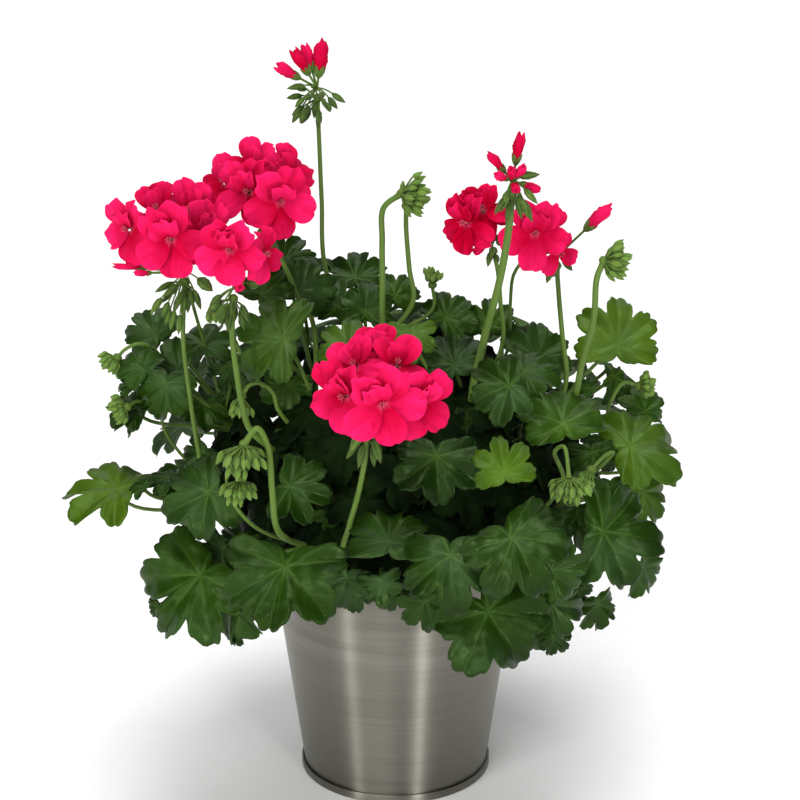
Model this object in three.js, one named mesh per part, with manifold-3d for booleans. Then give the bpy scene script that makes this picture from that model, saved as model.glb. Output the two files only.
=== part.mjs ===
// A red-flowered ivy geranium in a tapered metal pot.
// Units are millimetres, +Z is up, and the origin is the middle of the pot's flat underside.
// The front of the plant faces -Y.
import * as THREE from "three";
import { mergeVertices } from "three/addons/utils/BufferGeometryUtils.js";
import Module from "manifold-3d";

const wasm = await Module();
wasm.setup();

// Driving dimensions of the pot
const POT_HEIGHT = 170;
const POT_FOOT_RADIUS = 65;
const POT_RIM_RADIUS = 88;
const WALL_THICKNESS = 1.2;
const WALL_FOOT_RADIUS = 63.2;
const WALL_TOP_RADIUS = 85;
const WALL_TAPER_BOTTOM = 7;
const WALL_TAPER_TOP = 164;
const RIM_ROLL_RADIUS = 2.2;
const FOOT_RING_HEIGHT = 6;
const FOOT_RING_THICKNESS = 1.5;
const BASE_THICKNESS = 2;
const POT_SEGMENTS = 32;
const CLEARANCE = 0.3;

// Driving dimensions of the soil
const SOIL_TOP = 154;
const ROOT_DEPTH = 34;
const HOLE_CLEARANCE = 1.6;
const HOLE_SIDES = 6;

// Driving dimensions of the plant
const STEM_RADIUS = 3.4;
const STEM_SIDES = 5;
const STEM_STEPS = 6;
const STEM_BELOW_SOIL_TOP = 4;
const STEM_ABOVE_SOIL_TOP = 12;
const LEAF_THICKNESS = 1.1;
const LEAF_STALK_RADIUS = 1.3;
const LEAF_STALK_STEPS = 2;
const STALK_CORNERS = 3;
const LEAF_STALK_RISE = 0.1;
const LEAF_STALK_BEND = 0.35;
const LEAF_STALK_AIM_BACK = 35;
const LEAF_STALK_AIM_DOWN = 22;
const LEAF_STALK_SPREAD = 0.12;
const LOWEST_LEAF = 0.64;
const HIGHEST_LEAF = 0.93;
const LEAF_SEARCH_STEP = 0.02;
const LEAST_DROOP = 0.02;
const MOST_DROOP = 0.18;
const FLOWER_STALK_SIDES = 4;
const BUD_STALK_RADIUS = 0.9;
const BUD_RADIUS = 2.6;
const BUD_BELLY = 0.4;
const BUD_NOD = 0.8;
const BUD_STALK_VARIATION = 0.25;
const BUD_SIDES = 3;
const RECEPTACLE_RADIUS = 3.2;
const HUB_RADIUS = 3;
const PETAL_THICKNESS = 1;
const PETAL_CUT = 0.56;
const PETAL_SHOULDER = 0.9;
const PETAL_HALF_WIDTH = 24;
const SPREAD_PETAL = 6;
const RAISED_PETAL = 34;
const FLORET_TILTS = [0, 14, -16, 24, -10, 8];
// Where the petals point: the first ones stand up, and the others spread below them.
const RAISED_PETALS = 2;
const PETAL_DIRECTIONS = {
  4: [60, 120, 225, 315],
  5: [58, 122, 205, 270, 335],
};
const PEDICEL_START = 1;
const PEDICEL_BEND = 0.3;
const PEDICEL_STEPS = 2;
const GOLDEN_SHARE = 0.618;

// The leaf's outline about its vein centre: five lobes, with a notch at the back.
const LOBE_ANGLES = [-104, -52, 0, 52, 104];
const LOBE_LENGTHS = [0.85, 0.96, 1, 0.96, 0.85];
const LOBE_TEETH = [[-10], [-13, 13], [-13, 13], [-13, 13], [10]];
const LARGE_LOBE_TEETH = [-16, 0, 16];
const LOBE_HALF_WIDTH = 26;
const LOBE_ROUNDNESS = 2.2;
const SINUS_LENGTH = 0.66;
const SINUS_RISE = 0.14;
const TOOTH_RISE = 0.04;
const NOTCH_LENGTH = 0.2;
const LEAF_WIDTH_PER_REACH = 1.78;
const LARGE_LEAF_WIDTH = 60;

const vector = (x, y, z) => new THREE.Vector3(x, y, z);
const radians = THREE.MathUtils.degToRad;

// A closed geometry as a solid that can be joined and cut.
// Faces that close up to a line, as at the poles of a lathe, are left out.
function solidOf(geometry) {
  geometry.deleteAttribute("normal");
  geometry.deleteAttribute("uv");
  const merged = mergeVertices(geometry, 1e-4);
  const corners = merged.index.array;
  const faces = [];
  for (let i = 0; i < corners.length; i += 3) {
    const [a, b, c] = corners.slice(i, i + 3);
    if (a !== b && b !== c && c !== a) faces.push(a, b, c);
  }
  return new wasm.Manifold(
    new wasm.Mesh({
      numProp: 3,
      vertProperties: merged.attributes.position.array,
      triVerts: new Uint32Array(faces),
    }),
  );
}

// The solids of one node, joined in a single mesh.
function meshOf(name, solids, material) {
  const mesh = wasm.Manifold.union(solids).getMesh();
  const geometry = new THREE.BufferGeometry();
  geometry.setAttribute("position", new THREE.BufferAttribute(mesh.vertProperties, 3));
  geometry.setIndex(new THREE.BufferAttribute(mesh.triVerts, 1));
  geometry.computeVertexNormals();
  const made = new THREE.Mesh(geometry, material);
  made.name = name;
  return made;
}

// A tube with a few flat sides along a curve, closed at both ends.
function tube(curve, radius, sides, steps) {
  const corners = [];
  for (let i = 0; i < sides; i++) {
    const angle = (2 * Math.PI * i) / sides;
    corners.push(new THREE.Vector2(radius * Math.cos(angle), radius * Math.sin(angle)));
  }
  const section = new THREE.Shape(corners);
  return solidOf(
    new THREE.ExtrudeGeometry(section, { steps, bevelEnabled: false, extrudePath: curve }),
  );
}

// A thin blade on its stalk, in one closed surface. Each face of the blade is a fan to its outline,
// alike on both faces, and on the underside the fan opens into the stalk's first ring.
// The curve runs from the stalk's foot to the blade's centre, which it reaches along the normal.
function bladeOnStalk(outline, normal, thickness, curve, radius, steps) {
  const count = outline.length;
  const centre = curve.getPoint(1);
  const half = normal.clone().multiplyScalar(thickness / 2);
  const points = [
    centre.clone().add(half),
    ...outline.map((p) => p.clone().add(half)),
    ...outline.map((p) => p.clone().sub(half)),
  ];
  const faces = [];
  for (let i = 0; i < count; i++) {
    const a = 1 + i;
    const b = 1 + ((i + 1) % count);
    faces.push(0, a, b);
    faces.push(a, a + count, b + count);
    faces.push(a, b + count, b);
  }

  // The rings of the stalk, from the blade down to the foot.
  const firstRing = points.length;
  let across = outline[0].clone().sub(centre);
  for (let ring = 0; ring <= steps; ring++) {
    const along = 1 - ring / steps;
    const tangent = ring === 0 ? normal : curve.getTangent(along);
    const middle = ring === 0 ? centre.clone().sub(half) : curve.getPoint(along);
    across = across.addScaledVector(tangent, -across.dot(tangent)).normalize();
    const beside = tangent.clone().cross(across);
    for (let k = 0; k < STALK_CORNERS; k++) {
      const around = (2 * Math.PI * k) / STALK_CORNERS;
      const point = middle.clone().addScaledVector(across, radius * Math.cos(around));
      points.push(point.addScaledVector(beside, radius * Math.sin(around)));
    }
  }
  const corner = (ring, k) => firstRing + ring * STALK_CORNERS + (k % STALK_CORNERS);
  for (let ring = 0; ring < steps; ring++) {
    for (let k = 0; k < STALK_CORNERS; k++) {
      faces.push(corner(ring, k), corner(ring + 1, k), corner(ring + 1, k + 1));
      faces.push(corner(ring, k), corner(ring + 1, k + 1), corner(ring, k + 1));
    }
  }
  for (let k = 1; k < STALK_CORNERS - 1; k++) {
    faces.push(corner(steps, 0), corner(steps, k + 1), corner(steps, k));
  }

  // The underside: each outline point is joined to the ring's corner that it faces.
  const facedCorner = (i) => Math.round((i * STALK_CORNERS) / count);
  for (let i = 0; i < count; i++) {
    const a = 1 + count + i;
    const b = 1 + count + ((i + 1) % count);
    const k = facedCorner(i);
    faces.push(corner(0, k), b, a);
    if (facedCorner(i + 1) > k) faces.push(corner(0, k), corner(0, k + 1), b);
  }
  const geometry = new THREE.BufferGeometry().setFromPoints(points);
  geometry.setIndex(faces);
  return solidOf(geometry);
}

// A pointed grain of four sides with its length along a direction.
function grain(middle, direction, radius, length) {
  const geometry = new THREE.OctahedronGeometry(1);
  geometry.scale(radius, length / 2, radius);
  const turn = new THREE.Quaternion().setFromUnitVectors(vector(0, 1, 0), direction);
  geometry.applyQuaternion(turn);
  geometry.translate(middle.x, middle.y, middle.z);
  return solidOf(geometry);
}

// A bud on its stalk: it widens from the stalk's foot to its belly and closes in a point.
function drop(foot, direction, stalk, length, radius) {
  const profile = [
    [0, PEDICEL_START],
    [BUD_STALK_RADIUS, PEDICEL_START],
    [radius, stalk + BUD_BELLY * length],
    [0, stalk + length],
  ];
  const geometry = new THREE.LatheGeometry(
    profile.map(([r, along]) => new THREE.Vector2(r, along)),
    BUD_SIDES,
  );
  const turn = new THREE.Quaternion().setFromUnitVectors(vector(0, 1, 0), direction);
  geometry.applyQuaternion(turn);
  geometry.translate(foot.x, foot.y, foot.z);
  return solidOf(geometry);
}

// The direction that a turn to the right of the front and a lift above the level give.
function facing(turn, lift) {
  const flat = Math.cos(radians(lift));
  return vector(
    Math.sin(radians(turn)) * flat,
    -Math.cos(radians(turn)) * flat,
    Math.sin(radians(lift)),
  );
}

// The two directions across a normal: one level, one upward.
function axesAcross(normal) {
  const level = vector(0, 0, 1).cross(normal).normalize();
  return [level, normal.clone().cross(level)];
}

// The stalk of a leaf: from the nearest fit on the stem, up and out to the underside of the blade.
// Stalks that fit the same place start a little apart.
function leafStalkCurve(end, normal, stem, apart) {
  const aim = end.clone().addScaledVector(normal, -LEAF_STALK_AIM_BACK);
  aim.z -= LEAF_STALK_AIM_DOWN;
  let nearest = LOWEST_LEAF;
  for (let t = LOWEST_LEAF; t < HIGHEST_LEAF; t += LEAF_SEARCH_STEP) {
    if (stem.getPoint(t).distanceTo(aim) < stem.getPoint(nearest).distanceTo(aim)) nearest = t;
  }
  const start = stem.getPoint(nearest + apart);
  const span = start.distanceTo(end);
  const rising = start.clone().lerp(end, LEAF_STALK_BEND);
  rising.z += LEAF_STALK_RISE * span;
  const arriving = end.clone().addScaledVector(normal, -LEAF_STALK_BEND * span);
  return new THREE.CubicBezierCurve3(start, rising, arriving, end);
}

// A leaf: its vein centre, width, the direction of its middle lobe as seen from the front,
// and the turn and lift of its upper face.
// The rim bends down by droop, and rises between the lobes, so the blade is pleated along its veins.
function leaf([x, y, z, width, tip, turn, lift], droop, stem, apart) {
  const normal = facing(turn, lift);
  const [level, upward] = axesAcross(normal);
  const reach = width / LEAF_WIDTH_PER_REACH;
  const centre = vector(x, y, z);
  const rimPoint = (angle, length, rise) => {
    const around = radians(tip + angle);
    return centre
      .clone()
      .addScaledVector(level, reach * length * Math.cos(around))
      .addScaledVector(upward, reach * length * Math.sin(around))
      .addScaledVector(normal, reach * (rise - droop) * length);
  };
  const outline = [];
  LOBE_ANGLES.forEach((lobe, i) => {
    const length = LOBE_LENGTHS[i];
    const teeth = width < LARGE_LEAF_WIDTH ? LOBE_TEETH[i] : LARGE_LOBE_TEETH;
    outline.push(rimPoint(lobe - LOBE_HALF_WIDTH, SINUS_LENGTH, SINUS_RISE));
    for (const tooth of teeth) {
      const share = Math.abs(tooth / LOBE_HALF_WIDTH) ** LOBE_ROUNDNESS;
      const reached = length - share * (length - SINUS_LENGTH);
      outline.push(rimPoint(lobe + tooth, reached, TOOTH_RISE));
    }
  });
  outline.push(rimPoint(180, NOTCH_LENGTH, 0));
  const curve = leafStalkCurve(centre, normal, stem, apart);
  return bladeOnStalk(outline, normal, LEAF_THICKNESS, curve, LEAF_STALK_RADIUS, LEAF_STALK_STEPS);
}

// An umbel of green buds: a receptacle of twenty faces, with a bud on its stalk drawn out of each face
// that looks along the umbel's direction, within its spread. Each bud leans from its own stalk towards that
// direction.
function budUmbel(centre, [dx, dy, dz, spread, stalk, length]) {
  const axis = vector(dx, dy, dz).normalize();
  const ball = new THREE.IcosahedronGeometry(RECEPTACLE_RADIUS);
  const faceUp = vector(1, 1, 1).normalize();
  ball.applyQuaternion(new THREE.Quaternion().setFromUnitVectors(faceUp, axis));
  ball.translate(centre.x, centre.y, centre.z);
  ball.deleteAttribute("normal");
  ball.deleteAttribute("uv");
  const merged = mergeVertices(ball, 1e-3);
  const points = [];
  for (let i = 0; i < merged.attributes.position.count; i++) {
    points.push(vector(0, 0, 0).fromBufferAttribute(merged.attributes.position, i));
  }
  const faces = [];
  const corners = merged.index.array;
  for (let i = 0; i < corners.length; i += 3) {
    const face = Array.from(corners.slice(i, i + 3));
    const middle = vector(0, 0, 0);
    for (const corner of face) middle.addScaledVector(points[corner], 1 / 3);
    const direction = middle.clone().sub(centre).normalize();
    if (direction.angleTo(axis) > radians(spread)) {
      faces.push(...face);
      continue;
    }
    const reach = stalk * (1 + BUD_STALK_VARIATION * Math.sin(9 * direction.x + 5 * direction.z));
    const nodding = direction.clone().addScaledVector(axis, BUD_NOD).normalize();
    const neck = middle.clone().addScaledVector(direction, reach);
    const belly = neck.clone().addScaledVector(nodding, BUD_BELLY * length);
    const ring = (at, radius) =>
      face.map((corner) => {
        const out = points[corner].clone().sub(middle).normalize();
        points.push(at.clone().addScaledVector(out, radius));
        return points.length - 1;
      });
    const neckRing = ring(neck, BUD_STALK_RADIUS);
    const bellyRing = ring(belly, BUD_RADIUS);
    points.push(neck.clone().addScaledVector(nodding, length));
    const tip = points.length - 1;
    for (let k = 0; k < 3; k++) {
      const next = (k + 1) % 3;
      faces.push(face[k], face[next], neckRing[next], face[k], neckRing[next], neckRing[k]);
      faces.push(neckRing[k], neckRing[next], bellyRing[next]);
      faces.push(neckRing[k], bellyRing[next], bellyRing[k]);
      faces.push(bellyRing[k], bellyRing[next], tip);
    }
  }
  const geometry = new THREE.BufferGeometry().setFromPoints(points);
  geometry.setIndex(faces);
  return solidOf(geometry);
}

// A flower stalk from a point of the stem through its own points, with its buds at the end.
function flowerStalk({ from, radius, points, buds }, stem) {
  const route = [stem.getPoint(from), ...points.map((p) => vector(...p))];
  const curve = new THREE.CatmullRomCurve3(route);
  const solids = [tube(curve, radius, FLOWER_STALK_SIDES, route.length + 1)];
  const end = route[route.length - 1];
  solids.push(budUmbel(end, buds));
  return solids;
}

// The solids of one leafy stem.
function leafyStem({ root, path, leaves, stalks }) {
  const [x, y] = root;
  const route = [
    vector(x, y, SOIL_TOP - ROOT_DEPTH),
    vector(x, y, SOIL_TOP - STEM_BELOW_SOIL_TOP),
    vector(x, y, SOIL_TOP + STEM_ABOVE_SOIL_TOP),
    ...path.map((p) => vector(...p)),
  ];
  const stem = new THREE.CatmullRomCurve3(route);
  const solids = [tube(stem, STEM_RADIUS, STEM_SIDES, STEM_STEPS)];
  leaves.forEach((row, i) => {
    const share = (i * GOLDEN_SHARE) % 1;
    const droop = THREE.MathUtils.lerp(LEAST_DROOP, MOST_DROOP, share);
    solids.push(leaf(row, droop, stem, LEAF_STALK_SPREAD * (share - 0.5)));
  });
  for (const stalk of stalks || []) solids.push(...flowerStalk(stalk, stem));
  return solids;
}

// An open floret on its pedicel: a ring of petals with a cut between each pair. Two petals stand up
// and lean forward, and the lower ones spread flat, as on a pansy.
function floret(hub, [x, y, z, petals, length, turn, lift], tilt) {
  const core = vector(x, y, z);
  const axis = facing(turn, lift);
  const [level, upward] = axesAcross(axis);
  const petalPoint = (around, share, cup) => {
    const flat = length * share * Math.cos(radians(cup));
    return core
      .clone()
      .addScaledVector(level, flat * Math.cos(radians(around)))
      .addScaledVector(upward, flat * Math.sin(radians(around)))
      .addScaledVector(axis, length * share * Math.sin(radians(cup)));
  };
  const outline = [];
  const directions = PETAL_DIRECTIONS[petals];
  directions.forEach((direction, i) => {
    const around = tilt + direction;
    const before = i === 0 ? directions[petals - 1] - 360 : directions[i - 1];
    const cup = i < RAISED_PETALS ? RAISED_PETAL : SPREAD_PETAL;
    outline.push(petalPoint(tilt + (before + direction) / 2, PETAL_CUT, cup / 2));
    outline.push(petalPoint(around - PETAL_HALF_WIDTH, PETAL_SHOULDER, cup));
    outline.push(petalPoint(around, 1, cup));
    outline.push(petalPoint(around + PETAL_HALF_WIDTH, PETAL_SHOULDER, cup));
  });
  const direct = core.clone().sub(hub);
  const foot = hub.clone().addScaledVector(direct.clone().normalize(), PEDICEL_START);
  const bend = core.clone().addScaledVector(axis, -PEDICEL_BEND * direct.length());
  const pedicel = new THREE.QuadraticBezierCurve3(foot, bend, core);
  return bladeOnStalk(outline, axis, PETAL_THICKNESS, pedicel, BUD_STALK_RADIUS, PEDICEL_STEPS);
}

// A red bud that shows its furled petals, on its pedicel.
function redBud(hub, [x, y, z, length, radius]) {
  const tip = vector(x, y, z);
  const direction = tip.clone().sub(hub);
  const stalk = direction.length() - length;
  return drop(hub, direction.normalize(), stalk, length, radius);
}

// The solids of one flower head above the receptacle of its stalk.
function flowerHead({ hub, florets, redBuds }) {
  const centre = vector(...hub);
  const solids = [grain(centre, vector(0, 0, 1), HUB_RADIUS, 2 * HUB_RADIUS)];
  (florets || []).forEach((row, i) => solids.push(floret(centre, row, FLORET_TILTS[i])));
  (redBuds || []).forEach((row) => solids.push(redBud(centre, row)));
  return solids;
}

// The leafy stems: root is where the stem leaves the soil, path is its way up,
// each leaf is [x, y, z, width, tip, turn, lift],
// and each stalk's buds are [direction x, y, z, spread, stalk length, bud length].
const LEAFY_STEMS = {
  leafy_stem_front_left: {
    root: [-32, -32],
    path: [[-46, -66, 184], [-60, -98, 198]],
    leaves: [
      [-66, -150, 206, 77, -95, -5, 38],
      [-121, -105, 182, 84, -120, -20, 30],
      [-101, -112, 170, 56, -90, -52, 5],
      [-78, -128, 182, 44, -80, 0, 5],
      [-72, -66, 216, 50, -90, -10, 25],
    ],
    stalks: [
      {
        from: 0.9,
        radius: 1.9,
        points: [[-71, -140, 227], [-73, -148, 255], [-75, -150, 283], [-81, -150, 294], [-89, -150, 284]],
        buds: [0, -0.2, -1, 75, 9, 13],
      },
      {
        from: 0.85,
        radius: 1.1,
        points: [[-86, -128, 224], [-99, -136, 246], [-99, -144, 266], [-92, -148, 261]],
        buds: [0, -0.2, -1, 75, 5, 11],
      },
    ],
  },
  leafy_stem_front: {
    root: [-4, -42],
    path: [[-6, -78, 182], [2, -108, 198]],
    leaves: [
      [-30, -118, 186, 36, -105, 0, 10],
      [-9, -122, 185, 30, -80, 5, 10],
      [19, -112, 168, 39, -75, 5, 5],
      [33, -165, 220, 62, -90, 0, 28],
      [-4, -138, 217, 54, 90, 0, 55],
    ],
    stalks: [
      {
        from: 0.85,
        radius: 1.7,
        points: [[-31, -112, 201], [-28, -125, 222], [-22, -140, 249], [-18, -148, 272], [-16, -150, 290]],
        buds: [-0.3, -0.3, -1, 50, 6, 13],
      },
    ],
  },
  leafy_stem_front_right: {
    root: [26, -38],
    path: [[46, -78, 186], [62, -116, 200]],
    leaves: [
      [56, -150, 177, 73, -62, 5, 22],
      [69, -172, 234, 66, -60, 5, 28],
      [97, -128, 172, 44, -65, 20, 10],
      [88, -122, 157, 40, -35, 15, 0],
      [94, -146, 203, 45, -50, 12, 5],
      [58, -72, 216, 58, -90, 5, 20],
    ],
  },
  leafy_stem_right: {
    root: [44, -16],
    path: [[78, -44, 190], [108, -68, 214]],
    leaves: [
      [127, -120, 217, 72, -15, 18, 25],
      [159, -70, 173, 38, -68, 40, 5],
      [129, -85, 154, 36, -85, 40, 5],
      [149, -60, 251, 68, 5, 18, 52],
      [160, -45, 215, 42, -60, 40, 15],
      [107, -24, 221, 60, -90, 25, 20],
      [113, -96, 218, 38, -80, 0, 20],
    ],
    stalks: [
      {
        from: 0.85,
        radius: 1.3,
        points: [[104, -100, 244], [97, -117, 268], [102, -126, 274], [105, -130, 256]],
        buds: [0, 0, -1, 75, 6, 11],
      },
      {
        from: 0.95,
        radius: 1.2,
        points: [[136, -85, 256], [129, -95, 257], [121, -100, 250]],
        buds: [-0.4, 0, -1, 50, 4, 10],
      },
    ],
  },
  leafy_stem_front_middle: {
    root: [8, -18],
    path: [[14, -58, 220], [24, -92, 252]],
    leaves: [
      [25, -140, 273, 54, -90, 0, 30],
      [64, -168, 273, 40, 100, 0, 20],
      [-27, -85, 231, 39, -80, 0, 15],
      [-38, -95, 222, 32, -60, 5, 10],
      [-5, -48, 238, 60, -90, 0, 20],
    ],
  },
  leafy_stem_centre_left: {
    root: [-20, -14],
    path: [[-36, -34, 222], [-54, -48, 284]],
    leaves: [
      [-64, -115, 245, 50, -20, 5, 32],
      [-69, -80, 328, 61, 172, -15, 28],
      [-61, -20, 343, 46, 60, 15, 22],
      [-70, -45, 321, 44, 95, 50, 15],
      [-67, -50, 289, 38, -100, 0, 10],
      [-64, -60, 262, 29, -60, 0, 15],
      [-42, -20, 262, 64, -90, 0, 20],
      [-72, 0, 357, 44, 120, -5, 40],
    ],
    stalks: [
      {
        from: 0.7,
        radius: 1.9,
        points: [[-89, -85, 270], [-94, -90, 289], [-97, -92, 312], [-99, -92, 336], [-98, -88, 356]],
        buds: [-0.2, -0.4, -1, 75, 6, 13],
      },
      {
        from: 0.95,
        radius: 1.6,
        points: [[-53, -20, 322], [-62, -30, 342], [-70, -38, 365], [-83, -42, 386]],
        buds: [0.3, -0.5, -0.6, 50, 5, 12],
      },
      {
        from: 0.75,
        radius: 1.3,
        points: [[-73, -70, 279], [-76, -73, 291], [-83, -75, 298], [-90, -78, 298], [-95, -80, 291]],
        buds: [-0.2, 0, -1, 50, 4, 11],
      },
      {
        from: 0.85,
        radius: 1.3,
        points: [[-90, -50, 296], [-100, -53, 318], [-108, -55, 338], [-111, -56, 346]],
        buds: [0.1, -0.6, -1, 50, 5, 10],
      },
    ],
  },
  leafy_stem_centre: {
    root: [-6, 8],
    path: [[-14, 2, 240], [-20, -12, 304]],
    leaves: [
      [-26, 10, 343, 46, 90, 0, 48],
      [-36, -12, 330, 36, 100, -5, 30],
      [-19, -15, 327, 39, 85, 5, 25],
      [0, 0, 334, 34, 60, 10, 30],
      [-28, -72, 318, 47, 85, 0, 35],
      [-5, 22, 285, 60, -90, 0, 20],
      [-39, 46, 342, 56, 90, 180, 60],
      [34, 36, 300, 54, 60, 150, 55],
    ],
    stalks: [
      {
        from: 0.9,
        radius: 1.5,
        points: [[-45, 2, 351], [-47, 0, 397], [-48, 0, 430], [-49, 0, 463]],
        buds: [-0.35, -0.6, -0.3, 75, 8, 11],
      },
      {
        from: 0.95,
        radius: 1.9,
        points: [[-9, -40, 319], [-8, -42, 349], [-8, -42, 381], [-7, -42, 402], [4, -42, 411]],
        buds: [1, -0.2, -0.15, 70, 6, 13],
      },
      {
        from: 0.97,
        radius: 1.6,
        points: [[11, -12, 332], [9, -12, 356], [7, -12, 382], [7, -14, 397]],
        buds: [0.7, 0, 1, 65, 4, 12],
      },
      {
        from: 1,
        radius: 1.2,
        points: [[24, -5, 326], [24, -5, 343]],
        buds: [0, -0.2, 1, 50, 2, 9],
      },
    ],
  },
  leafy_stem_centre_right: {
    root: [16, 4],
    path: [[34, -26, 226], [52, -46, 276]],
    leaves: [
      [10, -90, 335, 34, -90, 5, 22],
      [37, -60, 305, 45, 110, -10, 35],
      [33, -5, 320, 40, 40, 5, 35],
      [62, 0, 314, 38, 90, 0, 25],
      [91, -25, 299, 49, 90, 5, 28],
      [69, -112, 308, 47, -155, -12, 35],
      [81, -62, 301, 46, 30, 5, 55],
      [52, -8, 258, 62, -90, 5, 20],
    ],
    stalks: [
      {
        from: 0.95,
        radius: 2.4,
        points: [[49, -70, 296], [56, -80, 334], [63, -85, 364], [68, -88, 396], [70, -90, 423]],
        buds: [-0.2, -0.6, -1, 70, 4, 15],
      },
      {
        from: 1,
        radius: 1.5,
        points: [[69, -20, 307], [67, -25, 338], [65, -28, 358], [62, -30, 371]],
        buds: [0.2, -1, -0.3, 40, 3, 9],
      },
    ],
  },
  leafy_stem_upper_right: {
    root: [36, 10],
    path: [[76, -12, 222], [106, -24, 262]],
    leaves: [
      [143, -20, 306, 57, 85, 8, 22],
      [144, 11, 270, 30, -20, 35, 15],
      [103, -96, 278, 56, 100, 10, 48],
      [165, 5, 253, 36, 85, 25, 30],
      [108, 14, 258, 60, -90, 20, 20],
      [139, 10, 230, 36, -90, 15, 40],
    ],
    stalks: [
      {
        from: 1,
        radius: 1.6,
        points: [[110, -30, 289], [107, -32, 313], [104, -32, 340], [102, -32, 362]],
        buds: [-0.3, -1, -0.3, 40, 3, 9],
      },
      {
        from: 1,
        radius: 2,
        points: [[112, -70, 286], [116, -75, 313], [122, -78, 341], [123, -80, 367], [127, -80, 378]],
        buds: [1, 0, -0.1, 75, 4, 13],
      },
      {
        from: 1,
        radius: 1.3,
        points: [[136, -20, 257], [140, -20, 268], [148, -20, 281], [158, -20, 279]],
        buds: [1, 0, 0.1, 75, 3, 8],
      },
    ],
  },
  leafy_stem_left: {
    root: [-42, -14],
    path: [[-80, -36, 186], [-112, -52, 208]],
    leaves: [
      [-177, -55, 220, 68, -168, -25, 72],
      [-133, -30, 220, 52, 172, -20, 55],
      [-115, -100, 235, 58, -146, -16, 32],
      [-98, -20, 222, 60, -90, -25, 20],
      [-97, -70, 191, 38, -90, -20, 10],
    ],
    stalks: [
      {
        from: 0.97,
        radius: 1.5,
        points: [[-121, -58, 226], [-125, -60, 250], [-129, -61, 285], [-132, -62, 322], [-130, -60, 359]],
        buds: [-0.4, -0.3, -1, 75, 6, 13],
      },
    ],
  },
  leafy_stem_upper_left: {
    root: [-36, 12],
    path: [[-84, -6, 222], [-118, -24, 264]],
    leaves: [
      [-156, 0, 307, 44, 140, -25, 30],
      [-123, -20, 306, 42, 80, -5, 50],
      [-139, -30, 294, 40, 175, -25, 20],
      [-146, -46, 289, 46, -95, -20, 15],
      [-124, -25, 268, 32, -85, 0, 35],
      [-166, -35, 268, 38, -175, -20, 60],
      [-108, 6, 262, 62, -90, -20, 20],
      [-161, -40, 297, 34, 150, -20, 40],
      [-104, -30, 296, 34, -60, -5, 30],
    ],
    stalks: [
      {
        from: 0.9,
        radius: 1.2,
        points: [[-149, -20, 295], [-155, -22, 304], [-164, -25, 309], [-173, -28, 306], [-178, -30, 301]],
        buds: [-0.5, 0, -0.6, 75, 3, 9],
      },
      {
        from: 0.9,
        radius: 1.2,
        points: [[-159, -34, 271], [-165, -40, 275], [-171, -46, 273]],
        buds: [-0.8, 0, -0.3, 75, 3, 9],
      },
    ],
  },
};

// The sides and back: leaves by rule on the shell of the plant, shared out to stems by direction.
const SHELL_RADII = [178, 155, 92];
const SHELL_MIDDLE = 226;
const SHELL_STEMS = {
  leafy_stem_back_right: { root: [30, 34], path: [[70, 58, 216], [98, 78, 246]], sectorEnd: 58 },
  leafy_stem_back: { root: [2, 42], path: [[6, 78, 230], [8, 100, 280]], sectorEnd: 122 },
  leafy_stem_back_left: { root: [-30, 36], path: [[-68, 60, 218], [-96, 78, 248]], sectorEnd: 190 },
};
const SHELL_LEAVES = 27;
const SHELL_LOWEST = -0.62;
const SHELL_HIGHEST = 0.92;
const SHELL_FIRST_DIRECTION = 14;
const SHELL_SWEEP = 154;
const SHELL_START = 0.3;
const SHELL_LEAF_WIDTH = 50;
const SHELL_LEAF_VARIATION = 16;
const SHELL_LIFT = 36;
const SHELL_LIFT_CHANGE = 32;

function shellLeaves() {
  const rows = [];
  for (let i = 0; i < SHELL_LEAVES; i++) {
    const level = SHELL_LOWEST + ((SHELL_HIGHEST - SHELL_LOWEST) * (i + 0.5)) / SHELL_LEAVES;
    const direction = SHELL_FIRST_DIRECTION + SHELL_SWEEP * ((i * GOLDEN_SHARE + SHELL_START) % 1);
    const across = Math.sqrt(1 - level * level);
    const [a, b, c] = SHELL_RADII;
    const x = a * across * Math.cos(radians(direction));
    const y = b * across * Math.sin(radians(direction));
    const z = SHELL_MIDDLE + c * level;
    const width = SHELL_LEAF_WIDTH + SHELL_LEAF_VARIATION * ((i * (1 - GOLDEN_SHARE)) % 1);
    rows.push([x, y, z, width, -90, 90 + direction, SHELL_LIFT + SHELL_LIFT_CHANGE * level]);
  }
  return rows;
}

let sectorStart = 0;
for (const [name, { root, path, sectorEnd }] of Object.entries(SHELL_STEMS)) {
  const leaves = shellLeaves().filter(([x, y]) => {
    const direction = THREE.MathUtils.radToDeg(Math.atan2(y, x));
    return direction >= sectorStart && direction < sectorEnd;
  });
  LEAFY_STEMS[name] = { root, path, leaves };
  sectorStart = sectorEnd;
}

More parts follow.
